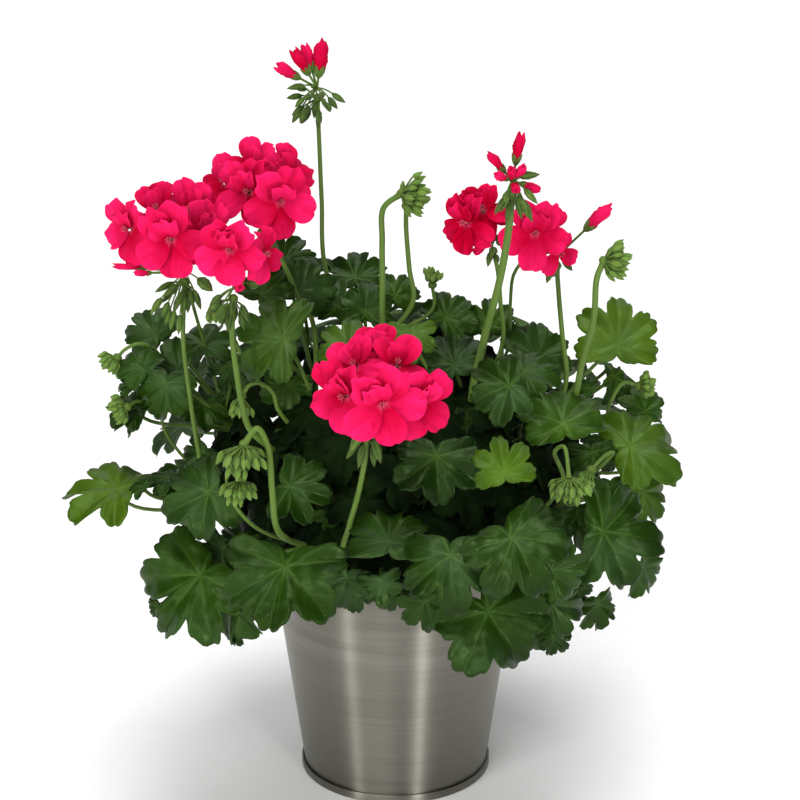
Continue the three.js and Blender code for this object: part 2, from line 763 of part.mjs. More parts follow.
// The flower heads: hub is just above the receptacle of the stalk,
// each floret is [x, y, z, petals, petal length, turn, lift],
// and each red bud is [x, y, z of its tip, length, radius].
const FLOWER_HEADS = {
  flower_head_left: {
    hub: [-130, -60, 365.5],
    florets: [
      [-161, -68, 395, 5, 21, -35, 10],
      [-134, -94, 395, 5, 24, -8, 8],
      [-116, -76, 395, 5, 20, 22, 20],
      [-146, -50, 401, 5, 19, -18, 50],
      [-126, -52, 402, 5, 20, 6, 42],
      [-136, -28, 388, 5, 20, 165, 25],
    ],
    redBuds: [
      [-173, -76, 374, 22, 2.3],
      [-159, -80, 370, 12, 2.4],
    ],
  },
  flower_head_upper_left: {
    hub: [-83, -42, 392.5],
    florets: [
      [-70, -68, 412, 5, 23, 15, 10],
      [-89, -58, 416, 5, 22, -18, 14],
      [-88, -38, 427, 5, 19, -10, 45],
      [-67, -40, 422, 5, 20, 35, 34],
      [-106, -22, 413, 5, 20, -30, 36],
      [-76, -14, 412, 5, 20, 180, 25],
    ],
  },
  flower_head_low_left: {
    hub: [-98, -88, 362.5],
    florets: [
      [-97, -112, 393, 5, 22, -8, 6],
      [-80, -92, 385, 4, 18, 42, 12],
    ],
    redBuds: [[-92, -104, 368, 12, 3.6]],
  },
  flower_head_tall: {
    hub: [-49, 0, 469.5],
    redBuds: [
      [-45, 0, 500, 24, 5.5],
      [-64, -4, 495, 20, 4.5],
      [-75, -6, 485, 18, 4.5],
      [-57, 4, 497, 18, 4],
    ],
  },
  flower_head_front: {
    hub: [-16, -150, 296.5],
    florets: [
      [-28, -166, 320, 5, 24, -28, 6],
      [-7, -180, 320, 5, 25, 0, 4],
      [14, -166, 316, 5, 22, 30, 6],
      [-23, -148, 331, 5, 20, -18, 44],
      [1, -146, 331, 5, 20, 14, 48],
      [-10, -134, 336, 5, 18, 0, 66],
    ],
  },
  flower_head_right_front: {
    hub: [70, -90, 429.5],
    redBuds: [
      [75, -90, 459, 20, 4],
      [55, -92, 447, 16, 3.4],
      [87, -92, 424, 13, 3.4],
      [59, -98, 435, 11, 3.4],
      [72, -104, 426, 12, 3.4],
    ],
  },
  flower_head_right_dark: {
    hub: [62, -30, 377.5],
    florets: [
      [45, -44, 393, 5, 20, -35, 10],
      [55, -38, 399, 5, 18, -12, 34],
      [54, -14, 390, 5, 18, 170, 30],
    ],
    redBuds: [[49, -52, 376, 13, 3.4]],
  },
  flower_head_right: {
    hub: [102, -32, 368.5],
    florets: [
      [86, -58, 390, 5, 22, 4, 12],
      [101, -46, 375, 4, 15, 20, 0],
      [95, -16, 382, 5, 17, 15, 46],
    ],
    redBuds: [[134, -44, 404, 24, 5]],
  },
};

// The outer radius of the pot's wall: upright inside the foot ring, then tapered up to the rim.
function wallRadius(z) {
  const share = Math.max(0, z - WALL_TAPER_BOTTOM) / (WALL_TAPER_TOP - WALL_TAPER_BOTTOM);
  return WALL_FOOT_RADIUS + (WALL_TOP_RADIUS - WALL_FOOT_RADIUS) * share;
}

// A section turned round the pot's axis.
function turned(profile) {
  const points = profile.map(([r, z]) => new THREE.Vector2(r, z));
  const geometry = new THREE.LatheGeometry(points, POT_SEGMENTS);
  geometry.rotateX(Math.PI / 2);
  return solidOf(geometry);
}

// The wall's section goes up the outside, round the rolled rim and down the inside.
function potWall() {
  const bottom = BASE_THICKNESS + CLEARANCE;
  const inside = (z) => [wallRadius(z) - WALL_THICKNESS, z];
  const rim = [-45, 30, 105, 180].map((degrees) => [
    POT_RIM_RADIUS - RIM_ROLL_RADIUS * (1 - Math.cos(radians(degrees))),
    POT_HEIGHT - RIM_ROLL_RADIUS * (1 - Math.sin(radians(degrees))),
  ]);
  return turned([
    inside(bottom),
    [wallRadius(bottom), bottom],
    [wallRadius(WALL_TAPER_BOTTOM), WALL_TAPER_BOTTOM],
    [wallRadius(WALL_TAPER_TOP), WALL_TAPER_TOP],
    ...rim,
    inside(WALL_TAPER_TOP),
    inside(WALL_TAPER_BOTTOM),
    inside(bottom),
  ]);
}

// The base is a flat disc whose edge stands up as a ring round the wall.
function potBase() {
  const ringInside = POT_FOOT_RADIUS - FOOT_RING_THICKNESS;
  return turned([
    [0, 0],
    [POT_FOOT_RADIUS, 0],
    [POT_FOOT_RADIUS, FOOT_RING_HEIGHT],
    [ringInside, FOOT_RING_HEIGHT],
    [ringInside, BASE_THICKNESS],
    [0, BASE_THICKNESS],
  ]);
}

// The soil fills the pot, with a plain hole for each stem.
function pottingSoil(stems) {
  const bottom = BASE_THICKNESS + CLEARANCE;
  const edge = (z) => [wallRadius(z) - WALL_THICKNESS - CLEARANCE, z];
  const soil = turned([
    [0, bottom],
    edge(bottom),
    edge(WALL_TAPER_BOTTOM),
    edge(SOIL_TOP),
    [0, SOIL_TOP],
  ]);
  const holes = stems.map(({ root }) => {
    const length = ROOT_DEPTH + STEM_ABOVE_SOIL_TOP;
    const radius = STEM_RADIUS + HOLE_CLEARANCE;
    const hole = new THREE.CylinderGeometry(radius, radius, length, HOLE_SIDES);
    hole.rotateX(Math.PI / 2);
    hole.translate(root[0], root[1], SOIL_TOP - ROOT_DEPTH - CLEARANCE + length / 2);
    return solidOf(hole);
  });
  return soil.subtract(wasm.Manifold.union(holes));
}

const metal = new THREE.MeshStandardMaterial({ color: 0x8c8a80, metalness: 0.9, roughness: 0.38 });
const soilFinish = new THREE.MeshStandardMaterial({ color: 0x2a1d14, roughness: 1 });
const greenFinish = new THREE.MeshStandardMaterial({ color: 0x2f5a22, roughness: 0.6 });
const redFinish = new THREE.MeshStandardMaterial({ color: 0xe8194f, roughness: 0.55 });

const plant = new THREE.Group();
plant.add(meshOf("pot_wall", [potWall()], metal));
plant.add(meshOf("pot_base", [potBase()], metal.clone()));
plant.add(meshOf("potting_soil", [pottingSoil(Object.values(LEAFY_STEMS))], soilFinish));
for (const [name, stem] of Object.entries(LEAFY_STEMS)) {
  plant.add(meshOf(name, leafyStem(stem), greenFinish.clone()));
}
for (const [name, head] of Object.entries(FLOWER_HEADS)) {
  plant.add(meshOf(name, flowerHead(head), redFinish.clone()));
}

export default plant;
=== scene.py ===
# %% [markdown]
# # A potted ivy geranium
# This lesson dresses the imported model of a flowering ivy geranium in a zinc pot. The model gives every stem,
# leaf, floret and bud its place. Each step here swaps one family of plain solids for a finer surface at the
# same place, worked out with numpy from the same few numbers, and then gives it a finish.

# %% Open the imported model
import math

import bpy
import numpy as np
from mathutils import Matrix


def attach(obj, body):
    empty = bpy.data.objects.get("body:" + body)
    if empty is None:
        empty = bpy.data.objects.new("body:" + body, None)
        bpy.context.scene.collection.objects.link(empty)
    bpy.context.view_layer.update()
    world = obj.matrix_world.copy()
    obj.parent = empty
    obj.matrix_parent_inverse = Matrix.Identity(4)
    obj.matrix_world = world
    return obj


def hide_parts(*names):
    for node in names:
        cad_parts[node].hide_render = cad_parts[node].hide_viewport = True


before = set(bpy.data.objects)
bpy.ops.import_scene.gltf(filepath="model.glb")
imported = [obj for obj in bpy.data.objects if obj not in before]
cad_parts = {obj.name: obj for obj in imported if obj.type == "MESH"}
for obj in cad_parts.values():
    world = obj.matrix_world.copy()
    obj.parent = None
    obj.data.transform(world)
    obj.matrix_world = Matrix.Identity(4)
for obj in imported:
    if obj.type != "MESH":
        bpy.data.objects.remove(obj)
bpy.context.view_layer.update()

# %% [markdown]
# ## The view
# The photograph looks a little down on the plant, from the front. The ellipse of the pot's foot gives the
# camera's pitch, and the pot's width gives its distance. The camera comes first, so that each later step
# can be judged in the picture it is meant for.

# %% Place the camera
FOCAL_PIXELS = 2154
PHOTO_PIXELS = 800
CAMERA_PLACE = (0.0031, -1.350, 0.703)
CAMERA_PITCH_DOWN = 18.06
camera_data = bpy.data.cameras.new("camera")
camera_data.sensor_width = 36
camera_data.lens = camera_data.sensor_width * FOCAL_PIXELS / PHOTO_PIXELS
camera = bpy.data.objects.new("camera", camera_data)
camera.location = CAMERA_PLACE
camera.rotation_euler = (math.radians(90 - CAMERA_PITCH_DOWN), 0, 0)
bpy.context.scene.collection.objects.link(camera)
bpy.context.scene.camera = camera
print("lens in mm:", round(camera_data.lens, 2))

# %% [markdown]
# ## Tools for surfaces
# Every piece below is one or more closed surfaces. A surface starts as a grid of points: its rows run along
# the piece and its columns run round it. A leaf fits this pattern too, when its rows go out along the
# underside and come back in along the upper side. Points are worked out in millimetres, as the plant was
# measured, and turn into metres when the mesh is made.

# %% Directions in space
MM = 0.001


def unit(vectors):
    """Each vector divided by its own length."""
    return vectors / np.maximum(np.linalg.norm(vectors, axis=-1, keepdims=True), 1e-9)


def facing(turn, lift):
    """The direction that a turn to the right of the front and a lift above the level give, in degrees."""
    turn, lift = math.radians(turn), math.radians(lift)
    return np.array([math.sin(turn) * math.cos(lift), -math.cos(turn) * math.cos(lift), math.sin(lift)])


def circle(count):
    """Angles at even steps round a full turn."""
    return np.arange(count) * 2 * np.pi / count


def swing(first, second, angle):
    """The direction at an angle from the first axis towards the second: first * cos + second * sin."""
    angle = np.asarray(angle)[..., None]
    return first * np.cos(angle) + second * np.sin(angle)


def axes_across(normal):
    """
    Two directions at right angles to a normal: a level one, and one that goes up. For a vertical normal there
    is no one level direction, and both come out with no length.
    """
    level = unit(np.cross([0.0, 0.0, 1.0], normal))
    return level, np.cross(normal, level)


# %% A closed skin over a grid of points
def skin(grid, uv, start=None, end=None, tone=0.3, finish=0):
    """
    A closed surface over grid[row, column]. Each point is joined to the next in its row and in its column,
    and the last column to the first. Start and end are the points that close the first and last row, and
    without them the last row is joined to the first. Columns run anticlockwise round the rows' direction.
    The finish is a number for the whole skin, or one for each row.
    """
    rows, columns = grid.shape[:2]
    bands = np.broadcast_to(finish, rows)
    index = np.arange(rows * columns).reshape(rows, columns)
    beside = np.roll(index, -1, axis=1)
    points = grid.reshape(-1, 3)
    uv = np.broadcast_to(uv, (rows, columns, 2)).reshape(-1, 2)
    if start is None:
        above, above_beside = np.roll(index, -1, axis=0), np.roll(beside, -1, axis=0)
        quads = np.stack([index, beside, above_beside, above], axis=-1).reshape(-1, 4)
        fans = np.zeros((0, 3), int)
        fan_finish = np.zeros(0, int)
    else:
        quads = np.stack([index[:-1], beside[:-1], beside[1:], index[1:]], axis=-1).reshape(-1, 4)
        first, last = np.full(columns, rows * columns), np.full(columns, rows * columns + 1)
        points = np.vstack([points, start, end])
        uv = np.vstack([uv, uv[:columns].mean(axis=0), uv[-columns:].mean(axis=0)])
        opening = np.stack([first, beside[0], index[0]], axis=-1)
        closing = np.stack([index[-1], beside[-1], last], axis=-1)
        fans = np.vstack([opening, closing])
        fan_finish = np.repeat([bands[0], bands[-1]], columns)
    quad_finish = np.repeat(bands, columns)[: len(quads)]
    tone = np.broadcast_to(tone, len(points))
    return dict(points=points, quads=quads, fans=fans, uv=uv, tone=tone, finish=(quad_finish, fan_finish))


# %% One mesh object from many skins
def piece(name, skins, finishes, node):
    """One object at the origin that holds all the skins, rides on the pot's body and stands for a node."""
    starts = np.cumsum([0] + [len(s["points"]) for s in skins])
    quads = np.vstack([s["quads"] + start for s, start in zip(skins, starts)])
    fans = np.vstack([s["fans"] + start for s, start in zip(skins, starts)])
    points = np.vstack([s["points"] for s in skins]) * MM
    corners = np.concatenate([quads.ravel(), fans.ravel()])
    face_starts = np.concatenate([np.arange(len(quads)) * 4, len(quads) * 4 + np.arange(len(fans)) * 3])
    finish = np.concatenate([s["finish"][0] for s in skins] + [s["finish"][1] for s in skins])
    mesh = bpy.data.meshes.new(name)
    mesh.vertices.add(len(points))
    mesh.vertices.foreach_set("co", points.ravel())
    mesh.loops.add(len(corners))
    mesh.loops.foreach_set("vertex_index", corners)
    mesh.polygons.add(len(face_starts))
    mesh.polygons.foreach_set("loop_start", face_starts)
    mesh.polygons.foreach_set("material_index", finish.astype(np.int32))
    mesh.polygons.foreach_set("use_smooth", np.ones(len(face_starts), bool))
    mesh.update(calc_edges=True)
    uv = np.vstack([s["uv"] for s in skins])
    layer = mesh.uv_layers.new(name="surface")
    layer.data.foreach_set("uv", uv[corners].ravel())
    tone = np.concatenate([s["tone"] for s in skins])
    mesh.attributes.new("tone", "FLOAT", "POINT").data.foreach_set("value", tone.astype(np.float32))
    for material in finishes:
        mesh.materials.append(material)
    made = bpy.data.objects.new(name, mesh)
    bpy.context.scene.collection.objects.link(made)
    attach(made, "root")
    if node:
        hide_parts(node)
    print(f"{name}: {2 * len(quads) + len(fans)} triangles")
    return made


# %% [markdown]
# ## Curves and tubes
# A stem is a smooth curve through a few measured points. The curve used here is a centripetal Catmull-Rom
# spline: it passes through each point, and the square root of each span sets how fast it goes there, which
# keeps it from swinging out. A tube carries a circle along the curve. Its circles are kept from twisting by
# one fixed direction, the one that the curve leans to least.

# %% Curves through points
def curve_through(points, t):
    """
    The point at share t of a centripetal Catmull-Rom spline. In each span the point is a cubic whose end
    slopes come from the neighbouring spans, each divided by the square root of its length.
    """
    p = np.asarray(points, float)
    p = np.vstack([2 * p[0] - p[1], p, 2 * p[-1] - p[-2]])
    spans = len(p) - 3
    place = np.clip(np.asarray(t, float), 0, 1) * spans
    i = np.minimum(place.astype(int), spans - 1)
    w = (place - i)[..., None]
    a, b, c, d = p[i], p[i + 1], p[i + 2], p[i + 3]
    ab, bc, cd = (np.sqrt(np.linalg.norm(v - u, axis=-1, keepdims=True)) for u, v in ((a, b), (b, c), (c, d)))
    leaving = ((b - a) / ab - (c - a) / (ab + bc) + (c - b) / bc) * bc
    arriving = ((c - b) / bc - (d - b) / (bc + cd) + (d - c) / cd) * bc
    square = -3 * b + 3 * c - 2 * leaving - arriving
    cube = 2 * b - 2 * c + leaving + arriving
    return b + leaving * w + square * w**2 + cube * w**3


def bent_line(points, t):
    """A Bezier curve: each inner point pulls the line between the ends towards itself."""
    p = np.asarray(points, float)
    t = np.asarray(t, float)[..., None]
    while len(p) > 1:
        p = [u + (v - u) * t for u, v in zip(p[:-1], p[1:])]
    return p[0]


# %% A tube along a curve
TUBE_LENGTH_PER_V = 50


def tube(path, radii, sides, tone, finish):
    """Circles of the given radii, square to the path at each of its points, closed at both ends."""
    along = unit(np.gradient(path, axis=0))
    least = np.linalg.svd(along, full_matrices=False)[2][-1]
    across = unit(np.cross(along, least))
    other = np.cross(along, across)
    radii = np.broadcast_to(radii, len(path))[:, None, None]
    grid = path[:, None] + radii * swing(across[:, None], other[:, None], circle(sides))
    length = np.concatenate([[0], np.cumsum(np.linalg.norm(np.diff(path, axis=0), axis=1))])
    u, v = np.meshgrid(np.arange(sides) / sides, length / TUBE_LENGTH_PER_V)
    return skin(grid, np.stack([u, v], axis=-1), path[0], path[-1], tone, finish)


print("tools ready")

# %% [markdown]
# ## Finishes
# A finish is a small graph of shader nodes. It reads either the place on the object, for dust and grain that
# run through a whole piece, or the surface's own coordinates, for what follows the piece, such as the veins
# of a leaf. The helpers below keep such a graph short to write.

# %% Helpers for shader graphs
class Finish:
    """A material with its shader, and short ways to add nodes to it."""

    def __init__(self, name):
        self.material = bpy.data.materials.new(name)
        self.material.use_nodes = True
        self.tree = self.material.node_tree
        self.shader = self.tree.nodes["Principled BSDF"]

    def node(self, kind, inputs=None, **options):
        """Adds a node, sets its options, and gives its inputs numbers or other nodes' outputs."""
        made = self.tree.nodes.new("ShaderNode" + kind)
        for key, value in options.items():
            setattr(made, key, value)
        self.feed(made, inputs or {})
        return made

    def feed(self, node, inputs):
        """Gives inputs numbers, colours of red, green and blue, or other nodes' outputs."""
        for key, value in inputs.items():
            if isinstance(value, bpy.types.NodeSocket):
                self.tree.links.new(value, node.inputs[key])
            elif node.inputs[key].type == "RGBA":
                node.inputs[key].default_value = (*value, 1)
            else:
                node.inputs[key].default_value = value

    def look(self, inputs):
        """Gives the shader itself its inputs."""
        self.feed(self.shader, inputs)

    def maths(self, operation, a, b=0.0, c=0.0):
        return self.node("Math", {0: a, 1: b, 2: c}, operation=operation).outputs[0]

    def total(self, first, *terms):
        """The first value plus each further value times its weight."""
        for value, weight in terms:
            first = self.maths("MULTIPLY_ADD", value, weight, first)
        return first

    def blend(self, share, a, b):
        """Colour a where share is 0 and colour b where it is 1."""
        return self.node("Mix", {0: share, 6: a, 7: b}, data_type="RGBA").outputs[2]

    def ramp(self, value, low, high, out_low=0.0, out_high=1.0):
        """Maps low..high to out_low..out_high in a smooth step."""
        inputs = {0: value, 1: low, 2: high, 3: out_low, 4: out_high}
        return self.node("MapRange", inputs, interpolation_type="SMOOTHSTEP").outputs[0]

    def place(self, scale=(1, 1, 1)):
        """The place on the object, stretched by a scale."""
        coordinates = self.node("TexCoord").outputs["Object"]
        return self.node("Mapping", {"Vector": coordinates, "Scale": scale}).outputs[0]

    def noise(self, vector, scale, detail=3.0, roughness=0.55):
        inputs = {"Vector": vector, "Scale": scale, "Detail": detail, "Roughness": roughness}
        return self.node("TexNoise", inputs).outputs["Fac"]

    def surface(self):
        """The piece's own two coordinates across its surface."""
        return self.node("SeparateXYZ", {0: self.node("UVMap", uv_map="surface").outputs[0]}).outputs

    def tone(self):
        """The tone that each leaf or petal was given."""
        return self.node("Attribute", attribute_name="tone").outputs["Fac"]

    def bump(self, height, distance, strength):
        inputs = {"Height": height, "Distance": distance, "Strength": strength}
        self.look({"Normal": self.node("Bump", inputs).outputs[0]})


# %% [markdown]
# ## The pot
# The pot is spun sheet metal with a dull zinc coat, brushed round and round. Its wall tapers, its upper edge
# is rolled over a wire, and its base is a shallow cup that the wall stands in, which leaves a dark seam above
# the foot. Brushed metal smears a light into a streak across the brush lines, so the round brushing gives
# upright streaks. The shader's anisotropy does that, with a tangent that turns round the pot's axis. The
# upper half is rubbed paler in bands.

# %% The zinc finish
def zinc_finish():
    zinc = Finish("brushed_zinc")
    fine = zinc.noise(zinc.place((3, 3, 700)), 2.0, 2.0)
    bands = zinc.noise(zinc.place((2, 2, 60)), 1.6, 3.0)
    clouds = zinc.noise(zinc.place(), 14.0, 4.0)
    worn = zinc.total(0.0, (clouds, 0.3), (bands, 0.35), (fine, 0.35))
    metal = zinc.blend(zinc.ramp(worn, 0.35, 0.65), (0.188, 0.181, 0.151), (0.24, 0.231, 0.196))
    height = zinc.node("SeparateXYZ", {0: zinc.place()}).outputs[2]
    streaks = zinc.ramp(zinc.noise(zinc.place((5, 5, 90)), 1.6, 2.0), 0.4, 0.75)
    rubbed = zinc.maths("MULTIPLY", streaks, zinc.ramp(height, 0.085, 0.115, 0.0, 0.4))
    zinc.look({"Base Color": zinc.blend(rubbed, metal, (0.32, 0.31, 0.275)), "Metallic": 1.0})
    zinc.look({"Roughness": zinc.ramp(worn, 0.3, 0.7, 0.36, 0.46)})
    zinc.look({"Anisotropic": 0.93, "Anisotropic Rotation": 0.25})
    zinc.look({"Tangent": zinc.node("Tangent", direction_type="RADIAL", axis="Z").outputs[0]})
    zinc.bump(zinc.maths("ADD", fine, bands), 0.0001, 0.25)
    return zinc.material


brushed_zinc = zinc_finish()
print("finish:", brushed_zinc.name)

# %% The pot's outline, from the same values as the model
POT_HEIGHT, RIM_RADIUS, FOOT_RADIUS = 170.0, 88.0, 65.0
WALL_FOOT_RADIUS, WALL_TOP_RADIUS, WALL_THICKNESS = 63.2, 85.0, 1.2
TAPER_BOTTOM, TAPER_TOP = 7.0, 164.0
ROLL_RADIUS = 2.2
RING_HEIGHT, RING_THICKNESS, BASE_THICKNESS = 6.0, 1.5, 2.0
CLEARANCE = 0.3
POT_BOTTOM = BASE_THICKNESS + CLEARANCE
ROUND = 160


def wall_radius(z):
    """Upright inside the foot ring, then tapered up to the rim."""
    share = np.maximum(0, z - TAPER_BOTTOM) / (TAPER_TOP - TAPER_BOTTOM)
    return WALL_FOOT_RADIUS + (WALL_TOP_RADIUS - WALL_FOOT_RADIUS) * share


def arc(r, z, radius, angles):
    """Points of a circle about (r, z), each a pair of its radius from the pot's axis and its height."""
    return [(r + radius * math.cos(a), z + radius * math.sin(a)) for a in angles]


def turned(profile, **about):
    """
    A profile of (radius, height) pairs carried round the pot's axis. The rows follow the profile, which runs
    up the outside of the piece, and the columns go round it.
    """
    r, z = np.array(profile, float).T
    x, y = r[:, None] * np.cos(circle(ROUND)), r[:, None] * np.sin(circle(ROUND))
    grid = np.stack([x, y, np.broadcast_to(z[:, None], x.shape)], axis=-1)
    u, v = np.meshgrid(np.arange(ROUND) / ROUND, z / POT_HEIGHT)
    return skin(grid, np.stack([u, v], axis=-1), **about)


# %% The wall with its rolled rim
def pot_wall():
    """
    Up the outside of the wall, round the rolled rim and down the inside. The roll is part of a circle, and
    the wall below it is drawn in a little, where the sheet turns out over its wire.
    """
    rising = np.concatenate([[POT_BOTTOM, TAPER_BOTTOM - 1], np.linspace(TAPER_BOTTOM, TAPER_TOP, 24)])
    outside = [(wall_radius(z), z) for z in rising]
    turns = np.radians(np.linspace(-70, 200, 19))
    roll = arc(RIM_RADIUS - ROLL_RADIUS, POT_HEIGHT - ROLL_RADIUS, ROLL_RADIUS, turns)
    inside = [(r - WALL_THICKNESS, z) for r, z in outside[::-1]]
    return piece("zinc_wall", [turned(outside + roll + inside)], [brushed_zinc], "pot_wall")


pot_wall()

# %% The base with its foot ring
FOOT_ROUND, LIP_ROUND = 1.2, 0.5


def pot_base():
    """A disc whose edge turns up in a ring, with small rounds where it bends."""
    inner = FOOT_RADIUS - RING_THICKNESS
    rounds = np.radians(np.linspace(-90, 0, 6))
    foot = arc(FOOT_RADIUS - FOOT_ROUND, FOOT_ROUND, FOOT_ROUND, rounds)
    lip = arc(FOOT_RADIUS - LIP_ROUND, RING_HEIGHT - LIP_ROUND, LIP_ROUND, -rounds[::-1])
    profile = foot + lip + [(inner, RING_HEIGHT), (inner, BASE_THICKNESS), (1, BASE_THICKNESS)]
    ring = turned([(1, 0)] + profile, start=(0, 0, 0), end=(0, 0, BASE_THICKNESS))
    return piece("zinc_base", [ring], [brushed_zinc], "pot_base")


pot_base()

# %% [markdown]
# ## The potting soil
# Potting soil is dark peat with lighter fibres and crumbs. Only a little of it shows between the stems, so a
# surface of low lumps is enough, with the crumbs left to the bump of its finish.

# %% The soil finish
def peat_finish():
    peat = Finish("moist_peat")
    crumbs = peat.noise(peat.place(), 260.0, 6.0, 0.7)
    patches = peat.noise(peat.place(), 45.0, 3.0)
    share = peat.ramp(peat.total(0.0, (patches, 0.4), (crumbs, 0.6)), 0.35, 0.7)
    peat.look({"Base Color": peat.blend(share, (0.008, 0.005, 0.003), (0.06, 0.035, 0.02))})
    peat.look({"Roughness": 0.95, "Specular IOR Level": 0.2})
    peat.bump(crumbs, 0.002, 0.9)
    return peat.material


moist_peat = peat_finish()

# %% The soil, lumpy on top
SOIL_TOP = 154.0
LUMP_DEPTH, LUMP_HEIGHT = 1.5, 0.5


def potting_soil():
    """
    The side follows the inside of the wall. The top is a disc whose height is the soil's top less a low wave:
    the sum of three sines of the place, each of another length, so that no two lumps are alike.
    """
    heights = (POT_BOTTOM, TAPER_BOTTOM, SOIL_TOP - 2)
    side = [(wall_radius(z) - WALL_THICKNESS - CLEARANCE, z) for z in heights]
    disc = [(r, SOIL_TOP) for r in np.linspace(side[-1][0] - 1, 1.5, 40)]
    made = turned([(1, POT_BOTTOM)] + side + disc, start=(0, 0, POT_BOTTOM), end=(0, 0, SOIL_TOP - 1))
    top = made["points"][:, 2] > SOIL_TOP - 0.5
    x, y, _ = made["points"][top].T
    waves = np.sin(x / 5 + 2 * np.sin(y / 7)) + np.sin(y / 4 + x / 9) + np.sin((x - 2 * y) / 3)
    made["points"][top, 2] -= LUMP_DEPTH + LUMP_HEIGHT * waves
    return piece("peat_soil", [made], [moist_peat], "potting_soil")


potting_soil()

# %% [markdown]
# ## The leaves
# An ivy geranium's leaf is a fleshy, rounded blade of five shallow lobes with scalloped edges. It hangs on a
# long stalk that meets it near the notch in its back edge, and its veins run from there like the fingers of a
# hand. The blade is folded a little along the veins, dips where the stalk holds it, and droops at its rim.
# All of that is a function of two parameters: the angle round the stalk's end, and the share of the way out
# to the edge.

# %% A thin sheet from a flat outline
RIM_THICKNESS_SHARE = 0.4


def sheet(middle, axes, flat, height, thickness, uv, tone, finishes):
    """
    A closed blade. flat[ring, column] holds the places in the blade's plane, from the smallest ring out to
    the rim, and height how far each stands above that plane. The rows run out along the underside and back
    in along the upper side, which each have their own finish. At the rim the blade is thinner.
    """
    ahead, aside, normal = axes
    rings = len(flat)
    half = np.full(rings, thickness / 2)
    half[-1] *= RIM_THICKNESS_SHARE
    half = np.concatenate([-half, half[::-1]])[:, None]
    flat = np.concatenate([flat, flat[::-1]])
    height = np.concatenate([height, height[::-1]]) + half
    grid = middle + flat[..., :1] * ahead + flat[..., 1:] * aside + height[..., None] * normal
    under, upper = finishes
    bands = np.array([under] * rings + [upper] * rings)
    uv = np.concatenate([uv, uv[::-1]])
    start, end = grid[0].mean(axis=0), grid[-1].mean(axis=0)
    return skin(grid, uv, start, end, tone, bands)


# %% The outline of a leaf
LOBE_ANGLES = np.array([-104, -52, 0, 52, 104])
LOBE_LENGTHS = np.array([0.85, 0.96, 1, 0.96, 0.85])
LOBE_HALF_WIDTH = 26
LOBE_ROUNDNESS = 2.8
SINUS_LENGTH, NOTCH_LENGTH = 0.62, 0.2
SINUS_RISE, LOBE_RISE = 0.28, 0.01
NOTCH_STARTS = 120
LOBE_SWAY, LOBE_VARIATION, SINUS_VARIATION = 6, 0.05, 0.08
SCALLOPS_PER_LOBE = 4
SCALLOP_DEPTH = 0.095
LEAF_WIDTH_PER_REACH = 1.78


def leaf_outline(angle, phase):
    """
    The blade's reach at an angle from its middle lobe, in degrees, as a share of that lobe's length, and how
    far the blade stands up there. A slow sine sways the angle first, and the phase makes the lobes a little
    unequal. At a share d of a lobe's half width from its vein, the reach is length - d^roundness * (length -
    sinus). Past the outer lobes it drops to the notch. Scallops take away depth * (1 - sqrt|sin|), which is
    flat at their tips and sharp at their cuts. The fold, 0.7 * (1 - cos(pi * d)) / 2 + 0.3 * (1 - (1 - d)^2),
    is a sharp valley along each vein and a round ridge between two lobes.
    """
    angle = angle + LOBE_SWAY * np.sin(np.radians(angle) + phase) * np.cos(np.radians(angle / 2))
    offset = np.minimum(np.abs(angle[:, None] - LOBE_ANGLES) / LOBE_HALF_WIDTH, 1)
    lengths = LOBE_LENGTHS * (1 + LOBE_VARIATION * np.sin(phase * np.arange(1, 6)))
    sinus = SINUS_LENGTH + SINUS_VARIATION * math.sin(2 * phase)
    reach = (lengths - offset**LOBE_ROUNDNESS * (lengths - sinus)).max(axis=1)
    past = np.clip((np.abs(angle) - NOTCH_STARTS) / (180 - NOTCH_STARTS), 0, 1) ** 0.8
    reach = reach + (NOTCH_LENGTH - reach) * past
    scallops = SCALLOPS_PER_LOBE * (angle / LOBE_HALF_WIDTH + 1) / 2
    reach = reach * (1 - SCALLOP_DEPTH * (1 - np.sqrt(np.abs(np.sin(np.pi * scallops)))) * (1 - past))
    near = offset.min(axis=1)
    fold = 0.7 * (1 - np.cos(np.pi * near)) / 2 + 0.3 * (1 - (1 - near) ** 2)
    rise = LOBE_RISE + (SINUS_RISE - LOBE_RISE) * fold * (1 - past)
    return reach, rise


# %% The blade of a leaf
LEAF_RINGS = np.array([0.14, 0.36, 0.6, 0.8, 0.93, 1.0])
INNER_LEAF_RINGS = np.array([0.2, 0.6, 1.0])
LEAF_THICKNESS = 0.7
LEAF_UV = 0.45
BACK_BEND = 0.3
RIM_CURL = 0.06


